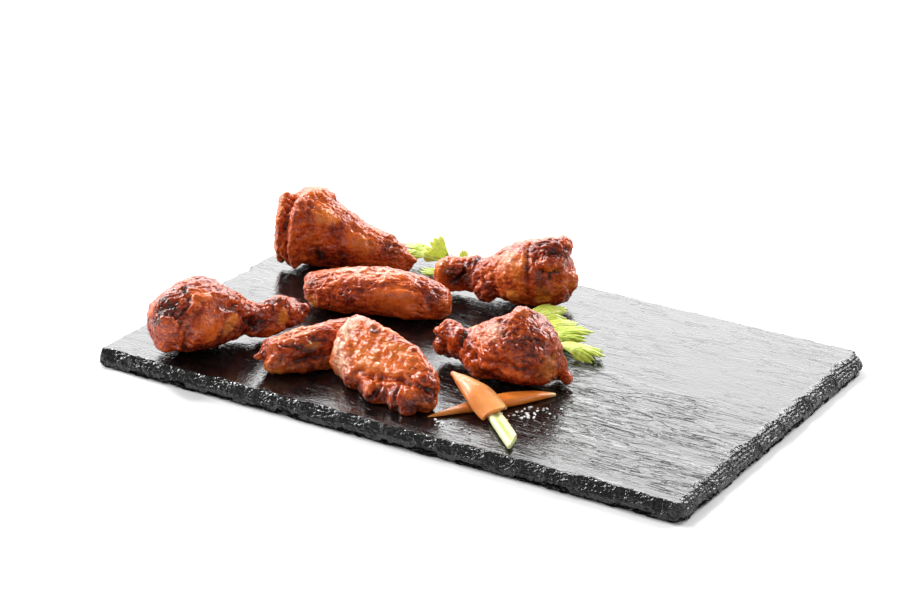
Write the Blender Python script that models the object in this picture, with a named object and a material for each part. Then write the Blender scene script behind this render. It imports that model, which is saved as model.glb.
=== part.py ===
"""Chicken wings served on a hand-cut slate board, with celery leaves, carrot and celery sticks.

The row frame has its origin at the middle of the board's underside, +X along the board's
long side, +Y towards its back and +Z up. Lengths are in millimetres until they are built,
and MM turns them into metres.
"""

import math
import random
from dataclasses import dataclass

import bmesh
import bpy
from mathutils import Euler, Matrix, Vector, noise

MM = 0.001
GAP = 0.3  # clear space between pieces that rest on each other

# The board
BOARD_LENGTH = 330.0
BOARD_DEPTH = 205.0
BOARD_THICKNESS = 9.0
BACK_TAPER = 5.5  # how much shorter the right side is than the left, at its back end
CORNER_RADII = {"front": 3.5, "right": 7.0, "back": 6.0, "left": 3.5}  # where each side starts
EDGE_STEP = 9.0
CORNER_STEPS = 3
CHIP_SEED = 11
CHIP_LENGTH = (9.0, 22.0)
CHIP_BITE = {"front": 3.4, "right": 8.0, "back": 3.0, "left": 3.4}
CHIP_OVERLAP = 0.62  # half a chip's reach as a share of its spacing
CHIP_DEPTHS = (0.45, 1.2)  # shallowest and deepest chip, as shares of the side's bite
RIM_LEAST = 0.25  # the rim between chips, as a share of the side's bite
EDGE_WAVE = 0.9
EDGE_WAVE_LENGTH = 34.0
FOOT_INSET = 0.5  # how far the broken edge draws in at the underside
RIM_LEVELS = [(0.0, 0.0), (0.35, 0.0), (0.75, 0.38), (1.0, 1.0)]  # share of height, share of bite

# How finely the meat is modelled
RING_SIDES = 20
SKIN_VOXEL = 1.6
SKIN_SMOOTHING = 4
SKIN_SOFTNESS = 0.6
WING_TRIANGLES = 845
SKIN_RELIEF = 1.5  # height of the skin's broad unevenness
SKIN_RELIEF_SCALE = 8.0

TABLE = BOARD_THICKNESS + GAP  # the height of whatever rests on the board
TABLE_SIZE = 600.0
TABLE_DEPTH = 60.0

# The celery leaves
LEAF_THICKNESS = 1.3
LEAF_TOOTH = 0.19  # how deep a tooth is cut, as a share of the leaf
LEAF_ROUNDING = 0.22  # how much shorter the leaf is at its sides
LEAF_FOOT = 0.12  # how far out the blade starts on its stalk
LEAF_DROOP = 1.2  # how much the sides hang, in arches
LEAF_ROWS = 3
STALK_RADIUS = 1.6
STALK_SIDES = 10


@dataclass
class Lump:
    """A rounded mass of meat, skin or gristle: its middle, full size and turn in degrees."""

    at: tuple
    size: tuple
    turn: tuple = (0.0, 0.0, 0.0)


@dataclass
class Wing:
    """One wing piece, lofted along its bone.

    at is its own origin on the board, turn its roll, pitch and yaw in degrees. Each ring is
    (along, across, up, half width, half height), from the meaty end to the thin end.
    """

    name: str
    at: tuple
    turn: tuple
    rings: list
    lumps: list
    colour: tuple


WINGS = [
    Wing(
        "drumette_left",
        at=(-124.4, -76.5, -0.7),
        turn=(0.0, 0.0, 57.0),
        rings=[
            (-22.0, 0.0, 17.0, 4.0, 5.0),
            (-19.0, 0.0, 17.0, 11.0, 11.5),
            (-11.0, 0.0, 17.3, 17.5, 15.0),
            (0.0, 0.0, 18.4, 20.0, 18.0),
            (10.0, 0.0, 17.8, 18.5, 17.0),
            (19.0, 0.0, 16.3, 14.0, 14.3),
            (27.0, 0.0, 14.0, 9.5, 10.5),
            (34.0, 0.0, 11.8, 7.0, 6.8),
            (39.0, 0.0, 11.5, 7.0, 6.5),
            (44.0, 0.0, 12.0, 9.0, 8.6),
            (52.0, 0.0, 11.2, 10.0, 8.6),
            (57.0, 0.0, 10.0, 8.0, 7.0),
            (60.5, 0.0, 10.0, 3.5, 4.0),
        ],
        lumps=[
            Lump((-14.0, -8.0, 20.0), (16.0, 18.0, 18.0)),
            Lump((-16.0, -5.0, 10.0), (10.0, 15.0, 14.0)),
            Lump((5.0, 3.0, 32.5), (26.0, 18.0, 8.5), (0.0, 4.0, 10.0)),
            Lump((45.5, -2.0, 16.5), (10.0, 13.0, 9.0)),
            Lump((59.5, -1.0, 11.0), (10.0, 6.0, 5.5), (0.0, -4.0, 0.0)),
        ],
        colour=(0.33, 0.09, 0.04),
    ),
    Wing(
        "drumette_back",
        at=(-136.9, 47.8, -0.9),
        turn=(0.0, 0.0, 20.0),
        rings=[
            (-15.0, 0.0, 20.0, 5.0, 6.0),
            (-12.0, 0.0, 20.5, 11.0, 15.0),
            (-6.0, 0.0, 21.5, 16.0, 19.5),
            (1.0, 0.0, 23.0, 18.0, 22.3),
            (10.0, 0.0, 20.2, 17.5, 19.6),
            (19.0, 0.0, 17.0, 16.0, 16.4),
            (27.0, 0.0, 14.2, 14.0, 13.8),
            (35.0, 0.0, 12.2, 12.0, 11.8),
            (43.0, 0.0, 10.5, 10.5, 9.6),
            (49.0, 0.0, 9.0, 9.0, 8.0),
            (53.0, 0.0, 8.5, 5.5, 5.5),
        ],
        lumps=[
            Lump((-14.0, -6.0, 21.5), (8.0, 26.0, 39.0), (0.0, 4.0, 0.0)),
            Lump((-5.5, -11.0, 21.0), (9.0, 22.0, 40.0), (0.0, 3.0, 0.0)),
            Lump((1.0, 0.0, 39.0), (11.0, 20.0, 12.0)),
            Lump((49.0, -4.0, 6.0), (14.0, 13.0, 12.0)),
            Lump((54.5, -3.0, 8.5), (8.0, 6.0, 6.0)),
        ],
        colour=(0.40, 0.10, 0.04),
    ),
    Wing(
        "flat_middle",
        at=(-103.5, -1.2, 0.0),
        turn=(0.0, 0.0, 19.5),
        rings=[
            (-3.5, 0.0, 10.0, 4.0, 3.5),
            (-1.0, 0.0, 10.0, 9.0, 7.5),
            (6.0, 0.0, 10.8, 13.0, 9.8),
            (15.0, 0.0, 11.2, 15.0, 11.0),
            (28.0, 0.0, 11.8, 16.0, 11.8),
            (41.0, 0.0, 12.0, 15.5, 12.0),
            (52.0, 0.0, 11.5, 14.0, 11.3),
            (62.0, 0.0, 10.3, 12.0, 10.0),
            (70.0, 0.0, 9.0, 10.0, 8.2),
            (74.0, 0.0, 8.5, 6.0, 5.0),
        ],
        lumps=[
            Lump((14.0, 3.0, 16.5), (40.0, 13.0, 9.0), (0.0, -3.0, 3.0)),
            Lump((54.0, -7.5, 8.0), (30.0, 15.0, 15.0), (0.0, 0.0, 4.0)),
            Lump((3.0, -6.0, 6.5), (8.0, 9.0, 9.0)),
        ],
        colour=(0.36, 0.10, 0.05),
    ),
    Wing(
        "flat_lower",
        at=(-75.5, -77.5, 0.0),
        turn=(0.0, 0.0, 52.0),
        rings=[
            (-4.0, 0.0, 9.0, 4.0, 4.0),
            (-1.0, 0.0, 9.0, 8.0, 7.5),
            (4.0, 0.0, 8.4, 10.5, 7.8),
            (13.0, 0.0, 9.4, 11.0, 9.1),
            (25.0, 0.0, 10.3, 10.5, 10.2),
            (38.0, 1.0, 10.7, 10.0, 10.6),
            (48.0, 2.0, 10.2, 9.0, 10.0),
            (56.0, 3.0, 9.0, 7.0, 8.0),
            (60.0, 3.0, 9.0, 3.5, 4.0),
        ],
        lumps=[
            Lump((3.0, -7.0, 5.5), (10.0, 11.0, 11.0)),
            Lump((-4.0, 1.0, 8.0), (9.0, 5.0, 4.0)),
        ],
        colour=(0.22, 0.07, 0.04),
    ),
    Wing(
        "flat_front",
        at=(-44.0, -61.5, 15.0),
        turn=(60.0, 5.0, -11.6),
        rings=[
            (-2.5, 1.5, 0.0, 11.0, 3.0),
            (-1.0, 1.5, 0.0, 14.5, 5.5),
            (4.0, 1.5, 0.0, 16.0, 7.0),
            (14.0, 1.0, 0.0, 17.0, 8.0),
            (28.0, 0.0, 0.0, 17.5, 8.5),
            (42.0, 0.0, 0.0, 16.0, 8.5),
            (53.0, -1.0, 0.0, 13.0, 8.0),
            (60.0, -2.0, 0.0, 10.5, 7.0),
            (63.0, -2.0, 0.0, 7.0, 5.0),
        ],
        lumps=[
            Lump((17.0, -12.0, 3.0), (13.0, 11.0, 12.0)),
            Lump((35.0, -13.5, 4.0), (19.0, 13.0, 15.0)),
            Lump((52.0, -10.0, 4.0), (19.0, 15.0, 15.0)),
        ],
        colour=(0.48, 0.17, 0.07),
    ),
    Wing(
        "drumette_right",
        at=(-6.4, 63.8, 0.0),
        turn=(0.0, 0.0, 192.2),
        rings=[
            (-20.0, 0.0, 15.5, 5.0, 6.0),
            (-17.0, 0.0, 16.0, 12.0, 12.0),
            (-9.0, 0.0, 17.3, 17.0, 16.5),
            (1.0, 0.0, 17.6, 19.0, 17.8),
            (11.0, 0.0, 16.9, 17.5, 16.3),
            (20.0, 0.0, 15.0, 13.5, 12.5),
            (28.0, 0.0, 12.7, 10.0, 9.6),
            (36.0, 0.0, 11.2, 8.5, 8.4),
            (44.0, 0.0, 11.0, 9.5, 9.0),
            (50.0, 0.0, 10.8, 10.0, 9.0),
            (54.0, 0.0, 10.8, 7.0, 7.0),
            (56.0, 0.0, 11.0, 3.0, 3.5),
        ],
        lumps=[
            Lump((-14.0, 1.0, 35.0), (12.0, 12.0, 10.0)),
            Lump((-8.0, 8.0, 24.0), (22.0, 16.0, 18.0)),
            Lump((-20.0, 3.0, 17.0), (8.0, 10.0, 10.0)),
            Lump((8.0, 8.0, 11.0), (26.0, 18.0, 18.0)),
            Lump((24.0, 8.0, 9.0), (16.0, 12.0, 13.0)),
            Lump((47.0, 2.0, 16.0), (14.0, 14.0, 7.0)),
        ],
        colour=(0.36, 0.12, 0.05),
    ),
    Wing(
        "drumette_near",
        at=(35.5, -24.5, 0.0),
        turn=(0.0, 0.0, 174.0),
        rings=[
            (-20.0, 0.0, 15.0, 7.0, 8.0),
            (-17.0, 0.0, 15.5, 13.0, 12.5),
            (-10.0, 0.0, 17.0, 17.5, 16.2),
            (-3.0, 0.0, 18.4, 19.5, 18.2),
            (6.0, 0.0, 17.3, 19.0, 17.4),
            (15.0, 0.0, 15.3, 16.5, 14.8),
            (24.0, 0.0, 12.8, 13.0, 11.9),
            (32.0, 0.0, 10.8, 9.5, 9.3),
            (38.0, 0.0, 10.0, 8.0, 7.8),
            (43.0, 0.0, 10.0, 8.5, 8.3),
            (47.0, 0.0, 9.8, 7.5, 7.5),
            (50.5, 0.0, 9.8, 4.0, 4.5),
        ],
        lumps=[
            Lump((0.0, -1.0, 34.5), (11.0, 13.0, 10.0)),
            Lump((-11.0, 8.0, 18.0), (18.0, 16.0, 20.0)),
            Lump((-15.0, -12.0, 6.5), (10.0, 11.0, 13.0)),
            Lump((16.0, 10.0, 9.5), (22.0, 16.0, 18.0)),
            Lump((42.0, 0.0, 15.5), (11.0, 10.0, 7.0)),
        ],
        colour=(0.32, 0.10, 0.05),
    ),
]


@dataclass
class Leaflet:
    """One leaf of a sprig, from its foot to its middle tip.

    fan is how far it spreads to either side and tilt how far it leans, in degrees. arch is
    how far its middle stands up.
    """

    foot: tuple
    tip: tuple
    fan: float
    teeth: int
    arch: float = 1.5
    tilt: float = 0.0


@dataclass
class Sprig:
    """A few leaflets growing from one stalk."""

    name: str
    stalks: list
    leaflets: list


SPRIGS = [
    Sprig(
        "celery_leaf_back",
        stalks=[
            [(-53.0, 86.0, 2.0), (-62.0, 85.5, 2.8), (-77.5, 82.6, 4.8)],
            [(-66.0, 84.5, 3.0), (-68.5, 67.0, 2.4)],
            [(-71.0, 83.2, 4.0), (-73.5, 82.6, 7.5)],
            [(-62.0, 85.5, 2.8), (-63.0, 85.6, 5.5)],
        ],
        leaflets=[
            Leaflet((-73.0, 82.0, 4.0), (-99.0, 84.0, 8.0), 19.0, 5, 1.5, -14.0),
            Leaflet((-70.5, 84.0, 4.5), (-83.5, 79.5, 15.5), 33.0, 7, 1.0, -58.0),
            Leaflet((-62.0, 85.5, 3.5), (-66.0, 86.0, 11.0), 24.0, 5, 1.0, -40.0),
            Leaflet((-66.0, 68.0, 2.5), (-78.0, 64.0, 3.0), 30.0, 5, 0.5, 0.0),
        ],
    ),
    Sprig(
        "celery_leaf_right",
        stalks=[
            [(6.0, 14.0, 2.0), (18.0, 18.5, 2.8), (33.5, 20.0, 4.4)],
            [(8.0, 15.0, 2.4), (10.3, 29.5, 4.6)],
            [(16.0, 18.0, 2.8), (27.5, 26.5, 4.6)],
        ],
        leaflets=[
            Leaflet((10.0, 25.0, 4.0), (13.0, 50.5, 6.5), 36.0, 6, 2.5, 10.0),
            Leaflet((24.0, 24.0, 4.0), (42.0, 35.0, 6.5), 24.0, 5, 2.0, 8.0),
            Leaflet((29.0, 20.0, 4.0), (59.0, 18.5, 2.6), 17.0, 7, 2.5, 10.0),
        ],
    ),
]

# The carrot slice that arches over the celery, from its pointed end to its broad end
HOOD_APEX = (15.0, -54.0)
HOOD_FOOT = (49.0, -67.4)
HOOD_RINGS = [  # share of its length, height of its edges, half width, rise
    (0.0, 10.5, 0.8, 0.9),
    (0.12, 9.9, 2.6, 2.2),
    (0.35, 8.6, 5.6, 3.6),
    (0.62, 7.0, 8.2, 4.2),
    (0.85, 2.6, 9.0, 6.0),
    (1.0, 0.8, 8.3, 7.0),
]
HOOD_WALL = 1.9
HOOD_WALL_SHARE = 0.55  # the most of its half width that the wall may take where it is narrow
HOOD_SIDES = 12

# The carrot spindle and the celery stick
SPINDLE_ENDS = ((19.5, -83.0), (58.5, -30.0))
SPINDLE_WIDTH = 10.5
SPINDLE_HEIGHT = 4.8
STICK_ENDS = ((46.0, -67.2), (69.4, -88.6))
STICK_WIDTH = 7.6
STICK_HEIGHT = 4.3
STICK_SLANT = 5.0  # how far the cut end leans from square
STRIP_OUTLINE = [  # half the width and the height of a strip's cross-section
    (-1.0, 0.0),
    (1.0, 0.0),
    (0.97, 0.55),
    (0.62, 0.92),
    (0.0, 1.0),
    (-0.62, 0.92),
    (-0.97, 0.55),
]
# Share of the length, of the width and of the height
SPINDLE_PROFILE = [
    (0.0, 0.08, 0.14),
    (0.12, 0.34, 0.42),
    (0.3, 0.66, 0.75),
    (0.5, 0.95, 1.0),
    (0.65, 1.0, 1.0),
    (0.85, 0.62, 0.8),
    (1.0, 0.16, 0.3),
]
STICK_PROFILE = [(0.0, 0.94, 1.0), (0.5, 1.0, 1.0), (1.0, 0.98, 0.92)]


# --------------------------------------------------------------------------------------
# Tools that every piece uses
# --------------------------------------------------------------------------------------
def clear_scene():
    """Removes whatever the file holds."""
    for thing in list(bpy.data.objects):
        bpy.data.objects.remove(thing)


def material(name, colour, roughness):
    """A plain finish."""
    made = bpy.data.materials.new(name)
    made.use_nodes = True
    shader = made.node_tree.nodes["Principled BSDF"]
    shader.inputs["Base Color"].default_value = (*colour, 1.0)
    shader.inputs["Roughness"].default_value = roughness
    made.diffuse_color = (*colour, 1.0)
    return made


def skin_over(mesh, rings):
    """Joins rings of points, each (x, y, z) in millimetres, into a closed shell with flat ends."""
    loops = [[mesh.verts.new(Vector(p) * MM) for p in ring] for ring in rings]
    for low, high in zip(loops, loops[1:]):
        count = len(low)
        for i in range(count):
            j = (i + 1) % count
            mesh.faces.new((low[i], low[j], high[j], high[i]))
    mesh.faces.new(reversed(loops[0]))
    mesh.faces.new(loops[-1])


def add_object(name, mesh, finish):
    """Puts a bmesh in the scene as a shaded object."""
    bmesh.ops.recalc_face_normals(mesh, faces=mesh.faces)
    data = bpy.data.meshes.new(name)
    mesh.to_mesh(data)
    mesh.free()
    data.materials.append(finish)
    data.shade_smooth()
    thing = bpy.data.objects.new(name, data)
    bpy.context.scene.collection.objects.link(thing)
    return thing


def add_cutter(name, mesh):
    """A shape that only cuts others."""
    thing = add_object(name, mesh, material(name, (0.5, 0.5, 0.5), 1.0))
    thing.hide_render = True
    thing.display_type = "WIRE"
    return thing


def cut(thing, cutter, overlapping=False):
    """Takes the cutter's shape out of the object; overlapping says that its shells join as well."""
    boolean = thing.modifiers.new("cut_" + cutter.name, "BOOLEAN")
    boolean.use_self = overlapping
    boolean.operation = "DIFFERENCE"
    boolean.solver = "EXACT"
    boolean.object = cutter


# --------------------------------------------------------------------------------------
# The board
# --------------------------------------------------------------------------------------
def board_corners():
    """The board's four corners, anticlockwise from the front left, as (side that starts there, place)."""
    half_x, half_y = BOARD_LENGTH / 2, BOARD_DEPTH / 2
    return [
        ("front", Vector((-half_x, -half_y))),
        ("right", Vector((half_x, -half_y))),
        ("back", Vector((half_x, half_y - BACK_TAPER))),
        ("left", Vector((-half_x, half_y))),
    ]


def board_edge():
    """Points round the board, each with its outward direction, the side's name and the length so far."""
    corners = board_corners()
    found, run = [], 0.0
    for i, (side, corner) in enumerate(corners):
        next_side, next_corner = corners[(i + 1) % 4]
        after = corners[(i + 2) % 4][1]
        along = (next_corner - corner).normalized()
        turn_to = (after - next_corner).normalized()
        start = corner + along * CORNER_RADII[side]
        end_radius = CORNER_RADII[next_side]
        length = (next_corner - start).length - end_radius
        out = Vector((along.y, -along.x))
        next_out = Vector((turn_to.y, -turn_to.x))
        steps = round(length / EDGE_STEP)
        for step in range(steps):
            reached = length * step / steps
            found.append((start + along * reached, out, side, run + reached))
        run += length
        middle = next_corner - (out + next_out) * end_radius
        for step in range(CORNER_STEPS):
            outward = out.slerp(next_out, step / CORNER_STEPS)
            at = middle + outward * end_radius
            found.append((at, outward, side, run + end_radius * step / CORNER_STEPS))
        run += end_radius
    return found


def chips(total):
    """The flakes struck off the rim, each (middle, half length, share of the side's bite)."""
    chance = random.Random(CHIP_SEED)
    found, at = [], 0.0
    while at < total:
        length = chance.uniform(*CHIP_LENGTH)
        found.append((at + length / 2, length * CHIP_OVERLAP, chance.uniform(*CHIP_DEPTHS)))
        at += length
    return found


def bite_at(run, side, total, flakes):
    """How far the broken rim reaches in from the board's outline."""
    deepest = RIM_LEAST
    for middle, half, share in flakes:
        off = abs((run - middle + total / 2) % total - total / 2) / half
        if off < 1.0:
            deepest = max(deepest, share * math.sqrt(1.0 - off * off))
    return CHIP_BITE[side] * deepest


def board():
    """The slate: flat underneath, its rim broken by hand into shallow flakes."""
    edge = board_edge()
    total = edge[-1][3] + EDGE_STEP
    flakes = chips(total)
    rings = []
    for height, inset in RIM_LEVELS:
        ring = []
        for point, out, side, run in edge:
            wave = noise.noise(Vector((point.x, point.y, 0.0)) / EDGE_WAVE_LENGTH)
            wave = min(0.0, wave) * EDGE_WAVE
            if height == 0.0:
                wave -= FOOT_INSET
            at = point + out * (wave - inset * bite_at(run, side, total, flakes))
            ring.append((at.x, at.y, height * BOARD_THICKNESS))
        rings.append(ring)
    mesh = bmesh.new()
    skin_over(mesh, rings)
    return add_object("slate_board", mesh, material("slate", (0.055, 0.055, 0.058), 0.45))


# --------------------------------------------------------------------------------------
# The wings
# --------------------------------------------------------------------------------------
def turned(degrees):
    """A rotation matrix from roll, pitch and yaw."""
    return Euler([math.radians(d) for d in degrees]).to_matrix().to_4x4()


def melt_together(thing):
    """Melts a wing's overlapping shells into one uneven skin with few enough triangles."""
    melt = thing.modifiers.new("melt_together", "REMESH")
    melt.mode = "VOXEL"
    melt.voxel_size = SKIN_VOXEL * MM
    melt.use_smooth_shade = True
    smooth = thing.modifiers.new("soften", "SMOOTH")
    smooth.factor = SKIN_SOFTNESS
    smooth.iterations = SKIN_SMOOTHING
    uneven = thing.modifiers.new("uneven", "DISPLACE")
    uneven.texture = bpy.data.textures.new(thing.name, "CLOUDS")
    uneven.texture.noise_scale = SKIN_RELIEF_SCALE * MM
    uneven.texture_coords = "LOCAL"
    uneven.strength = SKIN_RELIEF * MM
    uneven.mid_level = 0.5
    bpy.context.view_layer.update()
    faces = len(thing.evaluated_get(bpy.context.evaluated_depsgraph_get()).data.polygons)
    thin = thing.modifiers.new("thin_out", "DECIMATE")
    thin.ratio = min(1.0, WING_TRIANGLES / (2 * faces))


def wing(plan, table_cutter):
    """One wing: its meat lofted along the bone, with its lumps melted in and a flat where it rests."""
    mesh = bmesh.new()
    rings = []
    for along, across, up, half_width, half_height in plan.rings:
        ring = []
        for i in range(RING_SIDES):
            a = 2 * math.pi * i / RING_SIDES
            ring.append((along, across + half_width * math.cos(a), up + half_height * math.sin(a)))
        rings.append(ring)
    skin_over(mesh, rings)
    for lump in plan.lumps:
        place = Matrix.Translation(Vector(lump.at) * MM) @ turned(lump.turn)
        size = Matrix.Diagonal((*(Vector(lump.size) * MM / 2), 1.0))
        bmesh.ops.create_icosphere(mesh, subdivisions=2, radius=1.0, matrix=place @ size)
    place = Matrix.Translation(Vector(plan.at) * MM + Vector((0, 0, BOARD_THICKNESS * MM)))
    bmesh.ops.transform(mesh, matrix=place @ turned(plan.turn), verts=mesh.verts)
    thing = add_object(plan.name, mesh, material(plan.name, plan.colour, 0.4))

    melt_together(thing)
    cut(thing, table_cutter)
    return thing


def table():
    """Everything below the height at which the food rests."""
    mesh = bmesh.new()
    size = Matrix.Diagonal((TABLE_SIZE * MM, TABLE_SIZE * MM, TABLE_DEPTH * MM, 1.0))
    drop = Matrix.Translation((0.0, 0.0, (TABLE - TABLE_DEPTH / 2) * MM))
    bmesh.ops.create_cube(mesh, size=1.0, matrix=drop @ size)
    return add_cutter("table", mesh)


# --------------------------------------------------------------------------------------
# The garnish
# --------------------------------------------------------------------------------------
def leaflet(mesh, plan):
    """A thin fan-shaped blade with a toothed outer edge, arched across and closed all round."""
    foot, tip = Vector(plan.foot), Vector(plan.tip)
    along = tip - foot
    length = along.length
    along.normalize()
    side = Vector((-along.y, along.x, 0.0)).normalized()
    normal = along.cross(side) * -1.0
    roll = Matrix.Rotation(math.radians(plan.tilt), 3, along)
    side, normal = roll @ side, roll @ normal
    if normal.z < 0:
        normal.negate()
    columns, rows = plan.teeth * 2, LEAF_ROWS

    def point(row, column, level):
        across = column / columns * 2.0 - 1.0
        tooth = 1.0 - LEAF_TOOTH * (column % 2 == 0) - LEAF_ROUNDING * across * across
        share = row / rows
        reach = length * tooth * (LEAF_FOOT + (1.0 - LEAF_FOOT) * share)
        angle = math.radians(plan.fan) * across
        bow = plan.arch * (4.0 * share * (1.0 - share) - LEAF_DROOP * across * across * share)
        at = foot + along * reach * math.cos(angle) + side * reach * math.sin(angle)
        at += normal * (bow + level * LEAF_THICKNESS / 2)
        return mesh.verts.new((at + Vector((0, 0, BOARD_THICKNESS))) * MM)

    low, high = (
        [[point(r, c, level) for c in range(columns + 1)] for r in range(rows + 1)]
        for level in (-1.0, 1.0)
    )
    for r in range(rows):
        for c in range(columns):
            mesh.faces.new((low[r][c], low[r][c + 1], low[r + 1][c + 1], low[r + 1][c]))
            mesh.faces.new((high[r][c], high[r + 1][c], high[r + 1][c + 1], high[r][c + 1]))
    rim = [(0, c) for c in range(columns)] + [(r, columns) for r in range(rows)]
    rim += [(rows, c) for c in range(columns, 0, -1)] + [(r, 0) for r in range(rows, 0, -1)]
    for (r0, c0), (r1, c1) in zip(rim, rim[1:] + rim[:1]):
        mesh.faces.new((low[r0][c0], high[r0][c0], high[r1][c1], low[r1][c1]))


def sprig(plan, table_cutter):
    """Celery leaves grown together on their stalk."""
    mesh = bmesh.new()
    for blade in plan.leaflets:
        leaflet(mesh, blade)
    lift = Vector((0, 0, BOARD_THICKNESS))
    for stalk in plan.stalks:
        points = [Vector(p) + lift for p in stalk]
        for a, b in zip(points, points[1:]):
            turn = (b - a).to_track_quat("Z", "Y").to_matrix().to_4x4()
            bmesh.ops.create_cone(
                mesh,
                cap_ends=True,
                segments=STALK_SIDES,
                radius1=STALK_RADIUS * MM,
                radius2=STALK_RADIUS * MM,
                depth=(b - a).length * MM,
                matrix=Matrix.Translation((a + b) / 2 * MM) @ turn,
            )
    thing = add_object(plan.name, mesh, material(plan.name, (0.42, 0.55, 0.08), 0.45))
    cut(thing, table_cutter, overlapping=True)
    return thing


def carrot_hood():
    """A tapering carrot slice bent into a roof, hollow underneath, resting on its lower corners."""
    apex, foot = Vector((*HOOD_APEX, 0.0)), Vector((*HOOD_FOOT, 0.0))
    along = foot - apex
    side = Vector((-along.y, along.x, 0.0)).normalized()
    rings = []
    for share, edge, half, rise in HOOD_RINGS:
        middle = apex + along * share + Vector((0, 0, TABLE + edge))
        wall = min(HOOD_WALL, HOOD_WALL_SHARE * min(half, rise))
        ring = []
        for inset in (0.0, wall):
            arc = []
            for i in range(HOOD_SIDES + 1):
                a = math.pi * i / HOOD_SIDES
                across, up = (half - inset) * math.cos(a), (rise - inset) * math.sin(a)
                arc.append(tuple(middle + side * across + Vector((0, 0, up))))
            ring += arc if inset == 0.0 else arc[::-1]
        rings.append(ring)
    mesh = bmesh.new()
    skin_over(mesh, rings)
    return add_object("carrot_hood", mesh, material("carrot_hood", (0.82, 0.32, 0.10), 0.4))


def stick(name, ends, width, height, profile, finish, slant=0.0):
    """A straight strip lying on the board; profile gives its share of width and height along it."""
    a, b = Vector((*ends[0], 0.0)), Vector((*ends[1], 0.0))
    along = b - a
    side = Vector((-along.y, along.x, 0.0)).normalized()
    rings = []
    for share, wide, high in profile:
        middle = a + along * share + Vector((0, 0, TABLE))
        w, h = width / 2 * wide, height * high
        lean = along.normalized() * slant * share
        ring = []
        for x, z in STRIP_OUTLINE:
            ring.append(tuple(middle + side * w * x - lean * x + Vector((0, 0, h * z))))
        rings.append(ring)
    mesh = bmesh.new()
    skin_over(mesh, rings)
    return add_object(name, mesh, finish)


def main():
    clear_scene()
    board()
    below = table()
    for plan in WINGS:
        wing(plan, below)
    for plan in SPRIGS:
        sprig(plan, below)
    carrot_hood()
    orange = material("carrot_spindle", (0.85, 0.20, 0.03), 0.4)
    stick("carrot_spindle", SPINDLE_ENDS, SPINDLE_WIDTH, SPINDLE_HEIGHT, SPINDLE_PROFILE, orange)
    pale = material("celery_stick", (0.62, 0.66, 0.28), 0.45)
    stick("celery_stick", STICK_ENDS, STICK_WIDTH, STICK_HEIGHT, STICK_PROFILE, pale, STICK_SLANT)


main()
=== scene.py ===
"""Dresses the chicken wings serving: roasted skin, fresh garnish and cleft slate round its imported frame.

Lengths are in millimetres in the frame's own axes until a mesh is written, and MM turns them
into metres.
"""

import logging
import math
import random
from dataclasses import dataclass, field
from enum import Enum

import bmesh
import bpy
import numpy as np
from mathutils import Euler, Matrix, Vector
from mathutils import noise as lattice
from mathutils.bvhtree import BVHTree
from mathutils.kdtree import KDTree


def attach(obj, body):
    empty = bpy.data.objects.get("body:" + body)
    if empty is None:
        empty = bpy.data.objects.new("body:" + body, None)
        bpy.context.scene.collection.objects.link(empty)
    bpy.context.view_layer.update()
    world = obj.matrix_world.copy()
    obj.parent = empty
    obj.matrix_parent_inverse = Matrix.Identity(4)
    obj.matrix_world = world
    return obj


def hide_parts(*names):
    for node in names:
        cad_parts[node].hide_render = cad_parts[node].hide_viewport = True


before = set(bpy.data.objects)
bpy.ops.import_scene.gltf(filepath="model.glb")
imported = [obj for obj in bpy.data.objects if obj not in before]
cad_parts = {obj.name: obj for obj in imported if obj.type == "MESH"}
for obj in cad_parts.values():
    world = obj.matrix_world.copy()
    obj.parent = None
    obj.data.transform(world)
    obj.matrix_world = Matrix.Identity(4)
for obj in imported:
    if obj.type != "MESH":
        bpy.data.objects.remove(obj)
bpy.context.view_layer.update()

MM = 0.001
ROOT = "root"
BOARD_TOP = 9.0
LOG = logging.getLogger("chicken_wings")

Point = tuple[float, float, float]
Colour = tuple[float, float, float]
Pair = tuple[float, float]
Socket = bpy.types.NodeSocket
# Each point round the board: its place, outward direction, side and length so far.
Outline = list[tuple[Vector, Vector, str, float]]


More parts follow.
